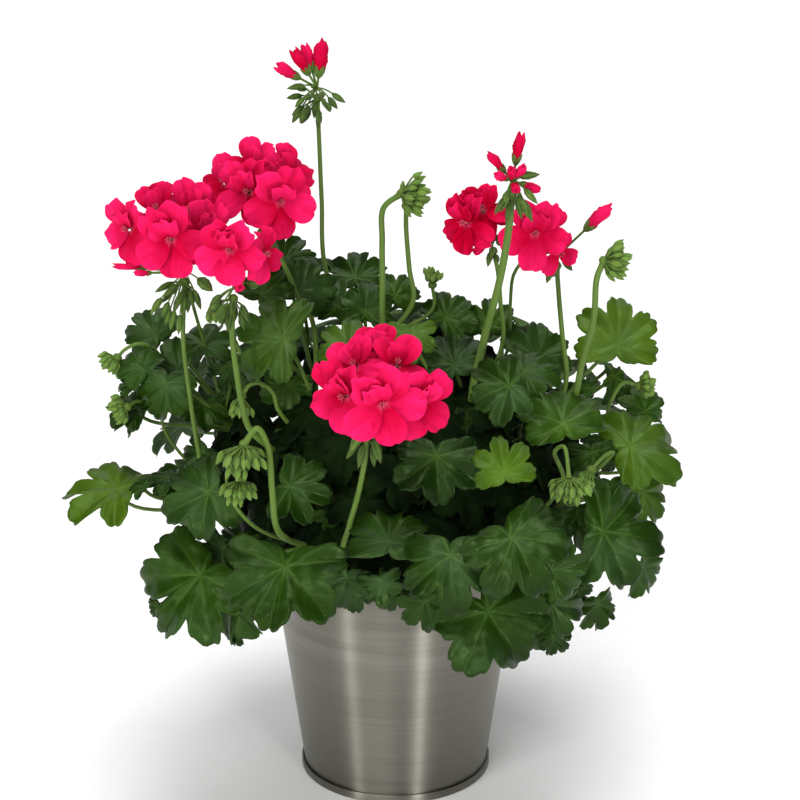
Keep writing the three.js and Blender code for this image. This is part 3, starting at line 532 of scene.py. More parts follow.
def blade(row, droop, phase, columns, rings):
    """
    A leaf about its vein centre. At a share s of the way out, the height above the flat is the reach times
    rise * s^1.7 + (waves - droop) * s^2 + bowl * s * (1 - s) - curl * s^4, where the waves are sines of the
    angle. What lies above the vein centre also bends back, by the square of its distance. The surface
    coordinates are the place in the blade's plane.
    """
    x, y, z, width, tip, turn, lift, tone = row
    angle = np.arange(columns) * 360 / columns - 180
    outline, rise = leaf_outline(angle, phase)
    turned_by = np.radians(angle)
    waves = 0.07 * np.sin(2 * turned_by + 1.7 * phase) + 0.09 * np.sin(3 * turned_by + phase)
    waves = waves + 0.05 * np.sin(5 * turned_by + 2.3 * phase) - 0.05
    waves = waves + 0.012 * np.sin(12 * turned_by + phase)
    bowl = 0.2 + 0.06 * math.sin(3 * phase)
    share = rings[:, None]
    height = rise * share**1.7 + (waves - droop) * share**2 + bowl * share * (1 - share) - RIM_CURL * share**4
    reach = width / LEAF_WIDTH_PER_REACH * outline
    around = np.radians(tip + angle)
    flat = np.stack([np.cos(around), np.sin(around)], axis=-1) * (reach * share)[..., None]
    own = np.stack([np.cos(turned_by), np.sin(turned_by)], axis=-1) * (outline * share)[..., None]
    height = height - BACK_BEND * (np.maximum(np.sin(around), 0) * outline * share) ** 2
    normal = facing(turn, lift)
    axes = (*axes_across(normal), normal)
    finishes = (FOLIAGE["underside"], FOLIAGE["leaf"])
    return sheet((x, y, z), axes, flat, reach * height, LEAF_THICKNESS, 0.5 + LEAF_UV * own, tone, finishes)


# %% [markdown]
# ## The finish of the leaves
# The upper side is a deep green, with painted shade that darkens it towards the rim. It has low puckers,
# paler veins, and in patches a painted bluish sheen, a painted reflection that is strongest near the stalk.
# Young leaves are more yellow. The veins come from the leaf's own coordinates: five main ones from the middle
# out, found by the angle to the nearest lobe, and side veins that leave each of them at a slant. The underside
# is pale and dull, with the veins standing out.

# %% The veins in a leaf's own coordinates
FOLIAGE = {"leaf": 0, "underside": 1, "stalk": 2, "bud": 3}
VEIN_SPACING = math.radians(2 * LOBE_HALF_WIDTH)


def veins(finish):
    """Two masks, of the main veins and the side veins, each 1 on the vein, and the share of the way out."""
    u, v, _ = finish.surface()
    x = finish.maths("MULTIPLY_ADD", u, 1 / LEAF_UV, -0.5 / LEAF_UV)
    y = finish.maths("MULTIPLY_ADD", v, 1 / LEAF_UV, -0.5 / LEAF_UV)
    angle = finish.maths("DIVIDE", finish.maths("ARCTAN2", y, x), VEIN_SPACING)
    offset = finish.maths("SUBTRACT", angle, finish.maths("ROUND", angle))
    offset = finish.maths("MULTIPLY", finish.maths("ABSOLUTE", offset), VEIN_SPACING)
    reach = finish.maths("SQRT", finish.maths("MULTIPLY_ADD", x, x, finish.maths("MULTIPLY", y, y)))
    across = finish.maths("MULTIPLY", reach, finish.maths("SINE", offset))
    along = finish.maths("MULTIPLY", reach, finish.maths("COSINE", offset))
    width = finish.maths("MULTIPLY_ADD", reach, -0.022, 0.034)
    main = finish.ramp(finish.maths("DIVIDE", across, width), 0.3, 1.0, 1.0, 0.0)
    main = finish.maths("MULTIPLY", main, finish.ramp(reach, 0.1, 0.8, 1.0, 0.25))
    slant = finish.maths("MULTIPLY_ADD", across, -1.3, along)
    wave = finish.maths("PINGPONG", finish.maths("MULTIPLY", slant, 5.5), 0.5)
    side = finish.ramp(wave, 0.0, 0.09, 1.0, 0.0)
    return main, side, reach


# %% The upper side and the underside
def leaf_finish():
    leaf = Finish("leaf_upper_side")
    main, side, reach = veins(leaf)
    mottle = leaf.noise(leaf.place(), 90.0, 4.0)
    broad = leaf.noise(leaf.place(), 22.0, 2.0)
    puckers = leaf.noise(leaf.place(), 55.0, 1.0)
    # The tone and random patches set the age. The reach term darkens the blade towards its rim, which is
    # painted shade.
    age_and_rim_shade = leaf.total(leaf.maths("ADD", leaf.tone(), 0.12), (broad, 0.5), (mottle, 0.3), (reach, -0.25))
    young = leaf.blend(leaf.ramp(age_and_rim_shade, 0.95, 1.45), (0.016, 0.046, 0.002), (0.062, 0.122, 0.004))
    green = leaf.blend(leaf.ramp(age_and_rim_shade, 0.35, 1.0), (0.002, 0.01, 0.0006), young)
    # Painted sheen: bluish patches, strongest near the stalk, stand in for the reflection of the light on the
    # blade.
    painted_sheen = leaf.maths("MULTIPLY", leaf.ramp(broad, 0.42, 0.68), leaf.ramp(reach, 0.1, 0.9, 0.42, 0.1))
    green = leaf.blend(painted_sheen, green, (0.036, 0.066, 0.038))
    green = leaf.blend(leaf.total(0.0, (main, 0.16), (side, 0.03)), green, (0.1, 0.2, 0.03))
    leaf.look({"Base Color": green, "Roughness": leaf.ramp(mottle, 0.3, 0.7, 0.3, 0.42)})
    leaf.look({"Specular IOR Level": 0.22, "Specular Tint": (0.65, 1, 0.4)})
    leaf.bump(leaf.total(mottle, (side, -0.2), (main, -0.4), (broad, 20.0), (puckers, 16.0)), 0.0008, 0.4)
    return leaf.material


def underside_finish():
    underside = Finish("leaf_underside")
    main, side, _ = veins(underside)
    mottle = underside.noise(underside.place(), 120.0, 3.0)
    green = underside.blend(underside.ramp(mottle, 0.3, 0.7), (0.05, 0.1, 0.03), (0.085, 0.15, 0.05))
    green = underside.blend(underside.total(0.0, (main, 0.7), (side, 0.25)), green, (0.15, 0.24, 0.08))
    underside.look({"Base Color": green, "Roughness": 0.7, "Specular IOR Level": 0.25})
    underside.bump(underside.total(main, (side, 0.4)), 0.0015, 0.6)
    return underside.material


leaf_upper_side, leaf_underside = leaf_finish(), underside_finish()
print("finishes:", leaf_upper_side.name, leaf_underside.name)

# %% [markdown]
# ## Stems, stalks and bud clusters
# The leafy stems are fleshy and jointed: they swell a little where a leaf stalk leaves them. Leaf stalks and
# flower stalks are thin, round and yellow-green. At a flower stalk's end a cluster of buds hangs from one
# point, each green bud on a thread of its own, with the tips of its sepals drawn together.

# %% The finish of stalks and of green buds
def stalk_finish():
    stalk = Finish("stalk_green")
    grain = stalk.noise(stalk.place((1, 1, 0.2)), 260.0, 3.0)
    patches = stalk.noise(stalk.place(), 30.0, 2.0)
    share = stalk.total(stalk.tone(), (patches, 0.5), (grain, 0.35))
    old = stalk.blend(stalk.ramp(share, 0.3, 0.8), (0.014, 0.028, 0.004), (0.05, 0.1, 0.01))
    colour = stalk.blend(stalk.ramp(share, 0.8, 1.4), old, (0.092, 0.162, 0.024))
    stalk.look({"Base Color": colour, "Roughness": 0.5, "Specular IOR Level": 0.2})
    stalk.look({"Sheen Weight": 0.06, "Sheen Roughness": 0.4, "Sheen Tint": (0.9, 1, 0.6)})
    stalk.bump(grain, 0.0005, 0.4)
    return stalk.material


def bud_finish():
    bud = Finish("bud_green")
    around, along, _ = bud.surface()
    # The ridge stripes make the bud lighter along its ridges and darker in the grooves between them: painted
    # shade for ridges the mesh doesn't have. The bump gives them their relief.
    ridge = bud.maths("PINGPONG", bud.maths("MULTIPLY", around, 5.0), 0.5)
    grain = bud.noise(bud.place(), 320.0, 3.0)
    share = bud.total(bud.tone(), (grain, 0.5), (ridge, 0.8))
    green = bud.blend(bud.ramp(share, 0.3, 1.7), (0.018, 0.045, 0.004), (0.135, 0.24, 0.035))
    brown = bud.total(0.0, (along, 0.5), (bud.noise(bud.place(), 90.0, 2.0), 0.6))
    colour = bud.blend(bud.ramp(brown, 0.68, 0.95, 0.0, 0.6), green, (0.11, 0.06, 0.02))
    bud.look({"Base Color": colour, "Roughness": 0.6, "Specular IOR Level": 0.2})
    bud.look({"Sheen Weight": 0.15, "Sheen Roughness": 0.4, "Sheen Tint": (0.9, 1, 0.75)})
    bud.bump(share, 0.0008, 0.5)
    return bud.material


foliage_finishes = [leaf_upper_side, leaf_underside, stalk_finish(), bud_finish()]
print("foliage finishes:", [m.name for m in foliage_finishes])

# %% A bud
BUD_STATIONS = np.array([0.03, 0.22, 0.5, 0.78, 0.98])
BUD_COLUMNS = 7


def bud(start, direction, length, radius, tone, finish=FOLIAGE["bud"]):
    """A drop drawn out to a point: at a share t along it, its radius is radius * sin(pi * t^0.75)^0.8."""
    direction = unit(np.asarray(direction, float))
    belly = radius * np.sin(np.pi * BUD_STATIONS**0.75) ** 0.8
    ring = swing(*axes_across(direction), circle(BUD_COLUMNS))
    grid = start + (BUD_STATIONS * length)[:, None, None] * direction + belly[:, None, None] * ring
    u, v = np.meshgrid(np.arange(BUD_COLUMNS) / BUD_COLUMNS, BUD_STATIONS)
    return skin(grid, np.stack([u, v], axis=-1), start, start + direction * length, tone, finish)


# %% A bud cluster
GOLDEN_RATIO = (1 + math.sqrt(5)) / 2
GOLDEN_SHARE = 0.618
RECEPTACLE_RADIUS = 3.2
YOUNG_BUDS = 62
BUD_NOD = 0.8
BUD_THREAD_START, BUD_THREAD_RADIUS = 1.5, 0.6
WAITING_BUD_RADIUS, YOUNG_BUD_RADIUS = 2.2, 2.9


def twenty_directions():
    """The directions of the faces of a solid with twenty equal faces, which spread the buds evenly."""
    p, q = GOLDEN_RATIO, 1 / GOLDEN_RATIO
    signs = [(a, b) for a in (-1, 1) for b in (-1, 1)]
    corners = [(a, b, c) for a, b in signs for c in (-1, 1)]
    edges = [face for a, b in signs for face in ((0, a * p, b * q), (a * q, 0, b * p), (a * p, b * q, 0))]
    return unit(np.array(corners + edges, float))


def turn_onto(vectors, axis):
    """Turns the vectors the shortest way that takes the (1, 1, 1) direction onto the axis."""
    first = unit(np.ones(3))
    cross, dot = np.cross(first, axis), float(first @ axis)
    tilt = np.array([[0, -cross[2], cross[1]], [cross[2], 0, -cross[0]], [-cross[1], cross[0], 0]])
    return vectors @ (np.eye(3) + tilt + tilt @ tilt / (1 + dot)).T


def bud_cluster(centre, row, opened):
    """
    A small receptacle with buds all round its axis, within the spread. On a stalk whose first buds have
    opened, dark full-sized buds take those of the twenty directions that lie within the spread. On a young
    stalk many small pale ones fill the same room: the golden angle spreads them, and the fractions of steps
    of 0.7 and 0.414 make them differ in size and in the length of their threads.
    """
    x, y, z, spread, thread, length = row
    axis = unit(np.array([x, y, z], float))
    bottom = centre - axis * RECEPTACLE_RADIUS
    made = [bud(bottom, axis, 2 * RECEPTACLE_RADIUS, RECEPTACLE_RADIUS, 0.8, FOLIAGE["stalk"])]
    least = math.cos(math.radians(spread))
    if opened:
        directions = [d for d in turn_onto(twenty_directions(), axis) if d @ axis > least]
        sizes = shares = np.ones(len(directions))
    else:
        number = np.arange(round(YOUNG_BUDS * (1 - least)))
        ahead = 1 - (1 - least) * (number + 0.5) / len(number)
        aside = swing(*axes_across(axis + (0.01, 0, 0)), 2 * np.pi * GOLDEN_SHARE * number)
        directions = ahead[:, None] * axis + np.sqrt(1 - ahead**2)[:, None] * aside
        sizes = 0.56 + 0.18 * (0.7 * number % 1)
        shares = 0.2 + 0.85 * (0.414 * number % 1)
    for direction, size, share in zip(directions, sizes, shares):
        start = centre + direction * BUD_THREAD_START
        reach = share * (thread + length * (1 - size))
        line = start + np.linspace(0, 1, 3)[:, None] * direction * reach
        made.append(tube(line, BUD_THREAD_RADIUS, 4, 1.1, FOLIAGE["stalk"]))
        tone = 0.3 if opened else 0.35 + 0.6 * share
        radius = WAITING_BUD_RADIUS if opened else YOUNG_BUD_RADIUS * size
        made.append(bud(line[-1], direction + BUD_NOD * axis, length * size, radius, tone))
    return made


# %% [markdown]
# ## Where each leaf, stem and stalk stands
# The rows below are those of the model. A leaf has the place of its vein centre, its width, where its middle
# lobe points, the turn and lift of its face, and a tone from old and dark to young and yellow. The leaves of
# tone 0.05, deep in the plant next to their stems, are made darkest for painted shade. A stalk has the share
# of the stem where it leaves, its radius, the axis, spread, thread length and bud length of its cluster, and
# the points of its route.

# %% The leafy stems
LEAFY_STEMS = {
    "front_left": {
        "root": (-32, -32),
        "path": [(-46, -66, 184), (-60, -98, 198)],
        "leaves": [
            (-66, -150, 206, 77, -95, -5, 38, 0.35),
            (-121, -105, 182, 84, -120, -20, 30, 0.45),
            (-101, -112, 170, 56, -90, -52, 5, 0.36),
            (-78, -128, 182, 44, -80, 0, 5, 0.51),
            (-72, -66, 216, 50, -90, -10, 25, 0.05),
        ],
        "stalks": [
            (0.9, 1.9, (0, -0.2, -1, 75, 9, 13),
             [(-71, -140, 227), (-73, -148, 255), (-75, -150, 283), (-81, -150, 294), (-89, -150, 284)]),
            (0.85, 1.1, (0, -0.2, -1, 75, 5, 11),
             [(-86, -128, 224), (-99, -136, 246), (-99, -144, 266), (-92, -148, 261)]),
        ],
    },
    "front": {
        "root": (-4, -42),
        "path": [(-6, -78, 182), (2, -108, 198)],
        "leaves": [
            (-30, -118, 186, 36, -105, 0, 10, 0.3),
            (-9, -122, 185, 30, -80, 5, 10, 0.45),
            (19, -112, 168, 39, -75, 5, 5, 0.36),
            (33, -165, 220, 62, -90, 0, 28, 0.3),
            (-4, -138, 217, 54, 90, 0, 55, 0.42),
        ],
        "stalks": [
            (0.85, 1.7, (-0.3, -0.3, -1, 50, 6, 13),
             [(-31, -112, 201), (-28, -125, 222), (-22, -140, 249), (-18, -148, 272), (-16, -150, 290)]),
        ],
    },
    "front_right": {
        "root": (26, -38),
        "path": [(46, -78, 186), (62, -116, 200)],
        "leaves": [
            (56, -150, 177, 73, -62, 5, 22, 0.3),
            (69, -172, 234, 66, -60, 5, 28, 0.3),
            (97, -128, 172, 44, -65, 20, 10, 0.36),
            (88, -122, 157, 40, -35, 15, 0, 0.51),
            (94, -146, 203, 45, -50, 12, 5, 0.42),
            (58, -72, 216, 58, -90, 5, 20, 0.05),
        ],
    },
    "right": {
        "root": (44, -16),
        "path": [(78, -44, 190), (108, -68, 214)],
        "leaves": [
            (127, -120, 217, 72, -15, 18, 25, 0.3),
            (159, -70, 173, 38, -68, 40, 5, 0.45),
            (129, -85, 154, 36, -85, 40, 5, 0.36),
            (149, -60, 251, 68, 5, 18, 52, 0.8),
            (160, -45, 215, 42, -60, 40, 15, 0.75),
            (107, -24, 221, 60, -90, 25, 20, 0.05),
            (113, -96, 218, 38, -80, 0, 20, 0.2),
        ],
        "stalks": [
            (0.85, 1.3, (0, 0, -1, 75, 6, 11),
             [(104, -100, 244), (97, -117, 268), (102, -126, 274), (105, -130, 256)]),
            (0.95, 1.2, (-0.4, 0, -1, 50, 4, 10),
             [(136, -85, 256), (129, -95, 257), (121, -100, 250)]),
        ],
    },
    "front_middle": {
        "root": (8, -18),
        "path": [(14, -58, 220), (24, -92, 252)],
        "leaves": [
            (25, -140, 273, 54, -90, 0, 30, 0.15),
            (64, -168, 273, 40, 100, 0, 20, 0.85),
            (-27, -85, 231, 39, -80, 0, 15, 0.36),
            (-38, -95, 222, 32, -60, 5, 10, 0.51),
            (-5, -48, 238, 60, -90, 0, 20, 0.05),
        ],
    },
    "centre_left": {
        "root": (-20, -14),
        "path": [(-36, -34, 222), (-54, -48, 284)],
        "leaves": [
            (-64, -115, 245, 50, -20, 5, 32, 0.3),
            (-69, -80, 328, 61, 172, -15, 28, 0.7),
            (-61, -20, 343, 46, 60, 15, 22, 0.36),
            (-70, -45, 321, 44, 95, 50, 15, 0.51),
            (-67, -50, 289, 38, -100, 0, 10, 0.42),
            (-64, -60, 262, 29, -60, 0, 15, 0.32),
            (-42, -20, 262, 64, -90, 0, 20, 0.05),
            (-72, 0, 357, 44, 120, -5, 40, 0.35),
        ],
        "stalks": [
            (0.7, 1.9, (-0.2, -0.4, -1, 75, 6, 13),
             [(-89, -85, 270), (-94, -90, 289), (-97, -92, 312), (-99, -92, 336), (-98, -88, 356)]),
            (0.95, 1.6, (0.3, -0.5, -0.6, 50, 5, 12),
             [(-53, -20, 322), (-62, -30, 342), (-70, -38, 365), (-83, -42, 386)]),
            (0.75, 1.3, (-0.2, 0, -1, 50, 4, 11),
             [(-73, -70, 279), (-76, -73, 291), (-83, -75, 298), (-90, -78, 298), (-95, -80, 291)]),
            (0.85, 1.3, (0.1, -0.6, -1, 50, 5, 10),
             [(-90, -50, 296), (-100, -53, 318), (-108, -55, 338), (-111, -56, 346)]),
        ],
    },
    "centre": {
        "root": (-6, 8),
        "path": [(-14, 2, 240), (-20, -12, 304)],
        "leaves": [
            (-26, 10, 343, 46, 90, 0, 48, 0.3),
            (-36, -12, 330, 36, 100, -5, 30, 0.45),
            (-19, -15, 327, 39, 85, 5, 25, 0.36),
            (0, 0, 334, 34, 60, 10, 30, 0.51),
            (-28, -72, 318, 47, 85, 0, 35, 0.8),
            (-5, 22, 285, 60, -90, 0, 20, 0.05),
            (-39, 46, 342, 56, 90, 180, 60, 0.48),
            (34, 36, 300, 54, 60, 150, 55, 0.38),
        ],
        "stalks": [
            (0.9, 1.5, (-0.35, -0.6, -0.3, 75, 8, 11),
             [(-45, 2, 351), (-47, 0, 397), (-48, 0, 430), (-49, 0, 463)]),
            (0.95, 1.9, (1, -0.2, -0.15, 70, 6, 13),
             [(-9, -40, 319), (-8, -42, 349), (-8, -42, 381), (-7, -42, 402), (4, -42, 411)]),
            (0.97, 1.6, (0.7, 0, 1, 65, 4, 12),
             [(11, -12, 332), (9, -12, 356), (7, -12, 382), (7, -14, 397)]),
            (1, 1.2, (0, -0.2, 1, 50, 2, 9),
             [(24, -5, 326), (24, -5, 343)]),
        ],
    },
    "centre_right": {
        "root": (16, 4),
        "path": [(34, -26, 226), (52, -46, 276)],
        "leaves": [
            (10, -90, 335, 34, -90, 5, 22, 0.8),
            (37, -60, 305, 45, 110, -10, 35, 0.15),
            (33, -5, 320, 40, 40, 5, 35, 0.36),
            (62, 0, 314, 38, 90, 0, 25, 0.51),
            (91, -25, 299, 49, 90, 5, 28, 0.42),
            (69, -112, 308, 47, -155, -12, 35, 0.32),
            (81, -62, 301, 46, 30, 5, 55, 0.48),
            (52, -8, 258, 62, -90, 5, 20, 0.05),
        ],
        "stalks": [
            (0.95, 2.4, (-0.2, -0.6, -1, 70, 4, 15),
             [(49, -70, 296), (56, -80, 334), (63, -85, 364), (68, -88, 396), (70, -90, 423)]),
            (1, 1.5, (0.2, -1, -0.3, 40, 3, 9),
             [(69, -20, 307), (67, -25, 338), (65, -28, 358), (62, -30, 371)]),
        ],
    },
    "upper_right": {
        "root": (36, 10),
        "path": [(76, -12, 222), (106, -24, 262)],
        "leaves": [
            (143, -20, 306, 57, 85, 8, 22, 0.95),
            (144, 11, 270, 30, -20, 35, 15, 0.45),
            (103, -96, 278, 56, 100, 10, 48, 0.65),
            (165, 5, 253, 36, 85, 25, 30, 0.51),
            (108, 14, 258, 60, -90, 20, 20, 0.05),
            (139, 10, 230, 36, -90, 15, 40, 0.3),
        ],
        "stalks": [
            (1, 1.6, (-0.3, -1, -0.3, 40, 3, 9),
             [(110, -30, 289), (107, -32, 313), (104, -32, 340), (102, -32, 362)]),
            (1, 2, (1, 0, -0.1, 75, 4, 13),
             [(112, -70, 286), (116, -75, 313), (122, -78, 341), (123, -80, 367), (127, -80, 378)]),
            (1, 1.3, (1, 0, 0.1, 75, 3, 8),
             [(136, -20, 257), (140, -20, 268), (148, -20, 281), (158, -20, 279)]),
        ],
    },
    "left": {
        "root": (-42, -14),
        "path": [(-80, -36, 186), (-112, -52, 208)],
        "leaves": [
            (-177, -55, 220, 68, -168, -25, 72, 0.92),
            (-133, -30, 220, 52, 172, -20, 55, 0.45),
            (-115, -100, 235, 58, -146, -16, 32, 0.36),
            (-98, -20, 222, 60, -90, -25, 20, 0.05),
            (-97, -70, 191, 38, -90, -20, 10, 0.15),
        ],
        "stalks": [
            (0.97, 1.5, (-0.4, -0.3, -1, 75, 6, 13),
             [(-121, -58, 226), (-125, -60, 250), (-129, -61, 285), (-132, -62, 322), (-130, -60, 359)]),
        ],
    },
    "upper_left": {
        "root": (-36, 12),
        "path": [(-84, -6, 222), (-118, -24, 264)],
        "leaves": [
            (-156, 0, 307, 44, 140, -25, 30, 0.3),
            (-123, -20, 306, 42, 80, -5, 50, 0.45),
            (-139, -30, 294, 40, 175, -25, 20, 0.36),
            (-146, -46, 289, 46, -95, -20, 15, 0.51),
            (-124, -25, 268, 32, -85, 0, 35, 0.42),
            (-166, -35, 268, 38, -175, -20, 60, 0.32),
            (-108, 6, 262, 62, -90, -20, 20, 0.05),
            (-161, -40, 297, 34, 150, -20, 40, 0.5),
            (-104, -30, 296, 34, -60, -5, 30, 0.2),
        ],
        "stalks": [
            (0.9, 1.2, (-0.5, 0, -0.6, 75, 3, 9),
             [(-149, -20, 295), (-155, -22, 304), (-164, -25, 309), (-173, -28, 306), (-178, -30, 301)]),
            (0.9, 1.2, (-0.8, 0, -0.3, 75, 3, 9),
             [(-159, -34, 271), (-165, -40, 275), (-171, -46, 273)]),
        ],
    },
}

# %% One leaf with its stalk
STEM_RADIUS, LEAF_STALK_RADIUS = 3.4, 1.3
STEM_PLACES = np.arange(0.64, 0.93, 0.02)
STALK_SPREAD = 0.12
AIM_BEHIND, AIM_BELOW = 35, 22
STALK_BEND, STALK_RISE = 0.35, 0.1
STALK_STATIONS = np.linspace(0, 1, 14)


def stem_route(root, path):
    """Straight up through the soil from the root, and on through the points of the path."""
    x, y = root
    return [(x, y, 120), (x, y, 150), (x, y, 166), *path]


def leaf_with_stalk(row, index, route, columns=124, rings=LEAF_RINGS):
    """The stalk leaves the stem at the place nearest below the leaf, and arrives along the leaf's back."""
    share = index * GOLDEN_SHARE % 1
    end, normal = np.array(row[:3], float), facing(row[5], row[6])
    aim = end - AIM_BEHIND * normal - (0, 0, AIM_BELOW)
    nearest = STEM_PLACES[np.argmin(np.linalg.norm(curve_through(route, STEM_PLACES) - aim, axis=1))]
    start = curve_through(route, nearest + STALK_SPREAD * (share - 0.5))
    span = np.linalg.norm(end - start)
    rising = start + STALK_BEND * (end - start) + (0, 0, STALK_RISE * span)
    line = bent_line([start, rising, end - STALK_BEND * span * normal, end], STALK_STATIONS)
    radii = LEAF_STALK_RADIUS * np.interp(STALK_STATIONS, [0, 0.08, 0.9, 1], [1.6, 1.05, 0.9, 1.2])
    stalk = tube(line, radii, 7, 0.35 + 0.5 * row[7], FOLIAGE["stalk"])
    return [blade(row, 0.02 + 0.16 * share, 6.28 * share + row[3], columns, rings), stalk]


# %% One leafy stem with all it carries
NODES_PER_STEM, NODE_SWELL = 9, 0.14


def leafy_stem(root, path, leaves, stalks=(), opened=()):
    """The jointed stem, its leaves on their stalks, and its flower stalks, each with a bud cluster."""
    route = stem_route(root, path)
    t = np.linspace(0, 1, 48)
    joints = 1 + NODE_SWELL * np.exp(-((t * NODES_PER_STEM % 1 - 0.5) / 0.12) ** 2)
    radii = STEM_RADIUS * joints * np.interp(t, [0, 0.6, 1], [1.05, 1, 0.75])
    made = [tube(curve_through(route, t), radii, 12, 0.25, FOLIAGE["stalk"])]
    for index, row in enumerate(leaves):
        made += leaf_with_stalk(row, index, route)
    for number, (leaves_at, radius, buds, points) in enumerate(stalks):
        line = [curve_through(route, leaves_at), *points]
        t = np.linspace(0, 1, 10 * len(line))
        swell = np.interp(t, [0, 0.05, 0.93, 0.98, 1], [1.25, 1.05, 0.95, 1.15, 1.6])
        made.append(tube(curve_through(line, t), radius * swell, 10, 0.85, FOLIAGE["stalk"]))
        made += bud_cluster(np.array(points[-1], float), buds, number in opened)
    return made


# %% The leaves of the sides and back
SHELL_RADII, SHELL_MIDDLE = np.array([178, 155, 92]), 226
SHELL_LEAVES, SHELL_LEVELS = 27, (-0.62, 0.92)
SHELL_FIRST_DIRECTION, SHELL_SWEEP, SHELL_START = 14, 154, 0.3
SHELL_LEAF_WIDTH, SHELL_LEAF_VARIATION = 50, 16
SHELL_LIFT, SHELL_LIFT_CHANGE = 36, 32
# Each stem's root, its path, and the direction where the sector that its leaves fill ends.
SHELL_STEMS = {
    "back_right": ((30, 34), [(70, 58, 216), (98, 78, 246)], 58),
    "back": ((2, 42), [(6, 78, 230), (8, 100, 280)], 122),
    "back_left": ((-30, 36), [(-68, 60, 218), (-96, 78, 248)], 190),
}


def on_shell(radii, middle, level, around):
    """The place on a flattened shell at a level from -1 to 1 and an angle round it."""
    across = math.sqrt(1 - level * level)
    return radii * (across * math.cos(around), across * math.sin(around), level) + (0, 0, middle)


def shell_leaves():
    """
    Leaves on a flattened shell, from low to high. Each next one is turned by the golden share of the
    sweep from the right side round the back to the left, as leaves on a stem are.
    """
    rows = []
    low, high = SHELL_LEVELS
    for i in range(SHELL_LEAVES):
        level = low + (high - low) * (i + 0.5) / SHELL_LEAVES
        direction = SHELL_FIRST_DIRECTION + SHELL_SWEEP * ((i * GOLDEN_SHARE + SHELL_START) % 1)
        place = on_shell(SHELL_RADII, SHELL_MIDDLE, level, math.radians(direction))
        width = SHELL_LEAF_WIDTH + SHELL_LEAF_VARIATION * (i * (1 - GOLDEN_SHARE) % 1)
        tone = 0.3 + 0.3 * (i * 0.414 % 1)
        rows.append((*place, width, -90, 90 + direction, SHELL_LIFT + SHELL_LIFT_CHANGE * level, tone))
    return rows


def direction_of(row):
    return math.degrees(math.atan2(row[1], row[0]))


sector_start = 0
for name, (root, path, sector_end) in SHELL_STEMS.items():
    leaves = [row for row in shell_leaves() if sector_start <= direction_of(row) < sector_end]
    LEAFY_STEMS[name] = {"root": root, "path": path, "leaves": leaves}
    sector_start = sector_end

# %% Make the leafy stems
# The stem and the number of the stalk that each flower head stands on.
HEAD_STALKS = {
    "left": ("left", 0),
    "upper_left": ("centre_left", 1),
    "low_left": ("centre_left", 0),
    "tall": ("centre", 0),
    "front": ("front", 0),
    "right_front": ("centre_right", 0),
    "right_dark": ("centre_right", 1),
    "right": ("upper_right", 0),
}
for name, stem in LEAFY_STEMS.items():
    opened = [number for carrier, number in HEAD_STALKS.values() if carrier == name]
    made = leafy_stem(**stem, opened=opened)
    piece("foliage_" + name, made, foliage_finishes, "leafy_stem_" + name)

# %% [markdown]
# ## The leaves within
# Under the outer leaves a grown plant is full of older ones, which keep the light out of its middle. Their
# near-black finish is painted shade for that middle.
# They stand on an inner flattened shell and hang on stalks from the nearest stem. Their outline has fewer
# points than that of the outer leaves, since only parts of them are seen.

# %% The finish of the leaves within
def shaded_finish():
    shaded = Finish("leaf_in_shade")
    mottle = shaded.noise(shaded.place(), 60.0, 3.0)
    # Near-black greens: painted shade for the leaves inside the plant.
    colour = shaded.blend(shaded.ramp(mottle, 0.3, 0.7), (0.001, 0.004, 0.0005), (0.005, 0.014, 0.002))
    shaded.look({"Base Color": colour, "Roughness": 0.7, "Specular IOR Level": 0.04})
    shaded.bump(mottle, 0.001, 0.4)
    return shaded.material


leaf_in_shade = shaded_finish()
shaded_finishes = [leaf_in_shade, leaf_in_shade, *foliage_finishes[2:]]

# %% The inner leaves, stem by stem
INNER_RADII, INNER_MIDDLE = np.array([112, 104, 74]), 228
INNER_LEAVES, INNER_LOWEST, INNER_RISE = 84, -0.8, 1.75
INNER_LEAF_WIDTH, INNER_LEAF_VARIATION = 46, 14
INNER_LIFT = 30
INNER_COLUMNS = 62


def inner_leaves():
    """Places by the golden angle, which spreads any number of leaves evenly round a shell."""
    rows = []
    for i in range(INNER_LEAVES):
        level = INNER_LOWEST + INNER_RISE * (i + 0.5) / INNER_LEAVES
        around = i * 2 * math.pi * GOLDEN_SHARE
        place = on_shell(INNER_RADII, INNER_MIDDLE, level, around)
        width = INNER_LEAF_WIDTH + INNER_LEAF_VARIATION * (i * (1 - GOLDEN_SHARE) % 1)
        rows.append((*place, width, -90, math.degrees(around) + 90, INNER_LIFT + INNER_LIFT * level, 0.1))
    return rows


def route_of(name):
    return stem_route(LEAFY_STEMS[name]["root"], LEAFY_STEMS[name]["path"])


ends = {name: np.array(stem["path"][-1], float) for name, stem in LEAFY_STEMS.items()}
shares = {name: [] for name in LEAFY_STEMS}
for row in inner_leaves():
    shares[min(ends, key=lambda name: np.linalg.norm(ends[name] - row[:3]))].append(row)
for name, rows in shares.items():
    made = []
    for index, row in enumerate(rows):
        made += leaf_with_stalk(row, index, route_of(name), INNER_COLUMNS, INNER_LEAF_RINGS)
    if made:
        piece("inner_leaves_" + name, made, shaded_finishes, None)

# %% [markdown]
# ## The youngest leaves and some bare stalks
# Between the large leaves small new ones unfold, and a few flower stalks stand behind those that carry the
# heads. They are finer than the model goes, so they are added here, each from its own stem.

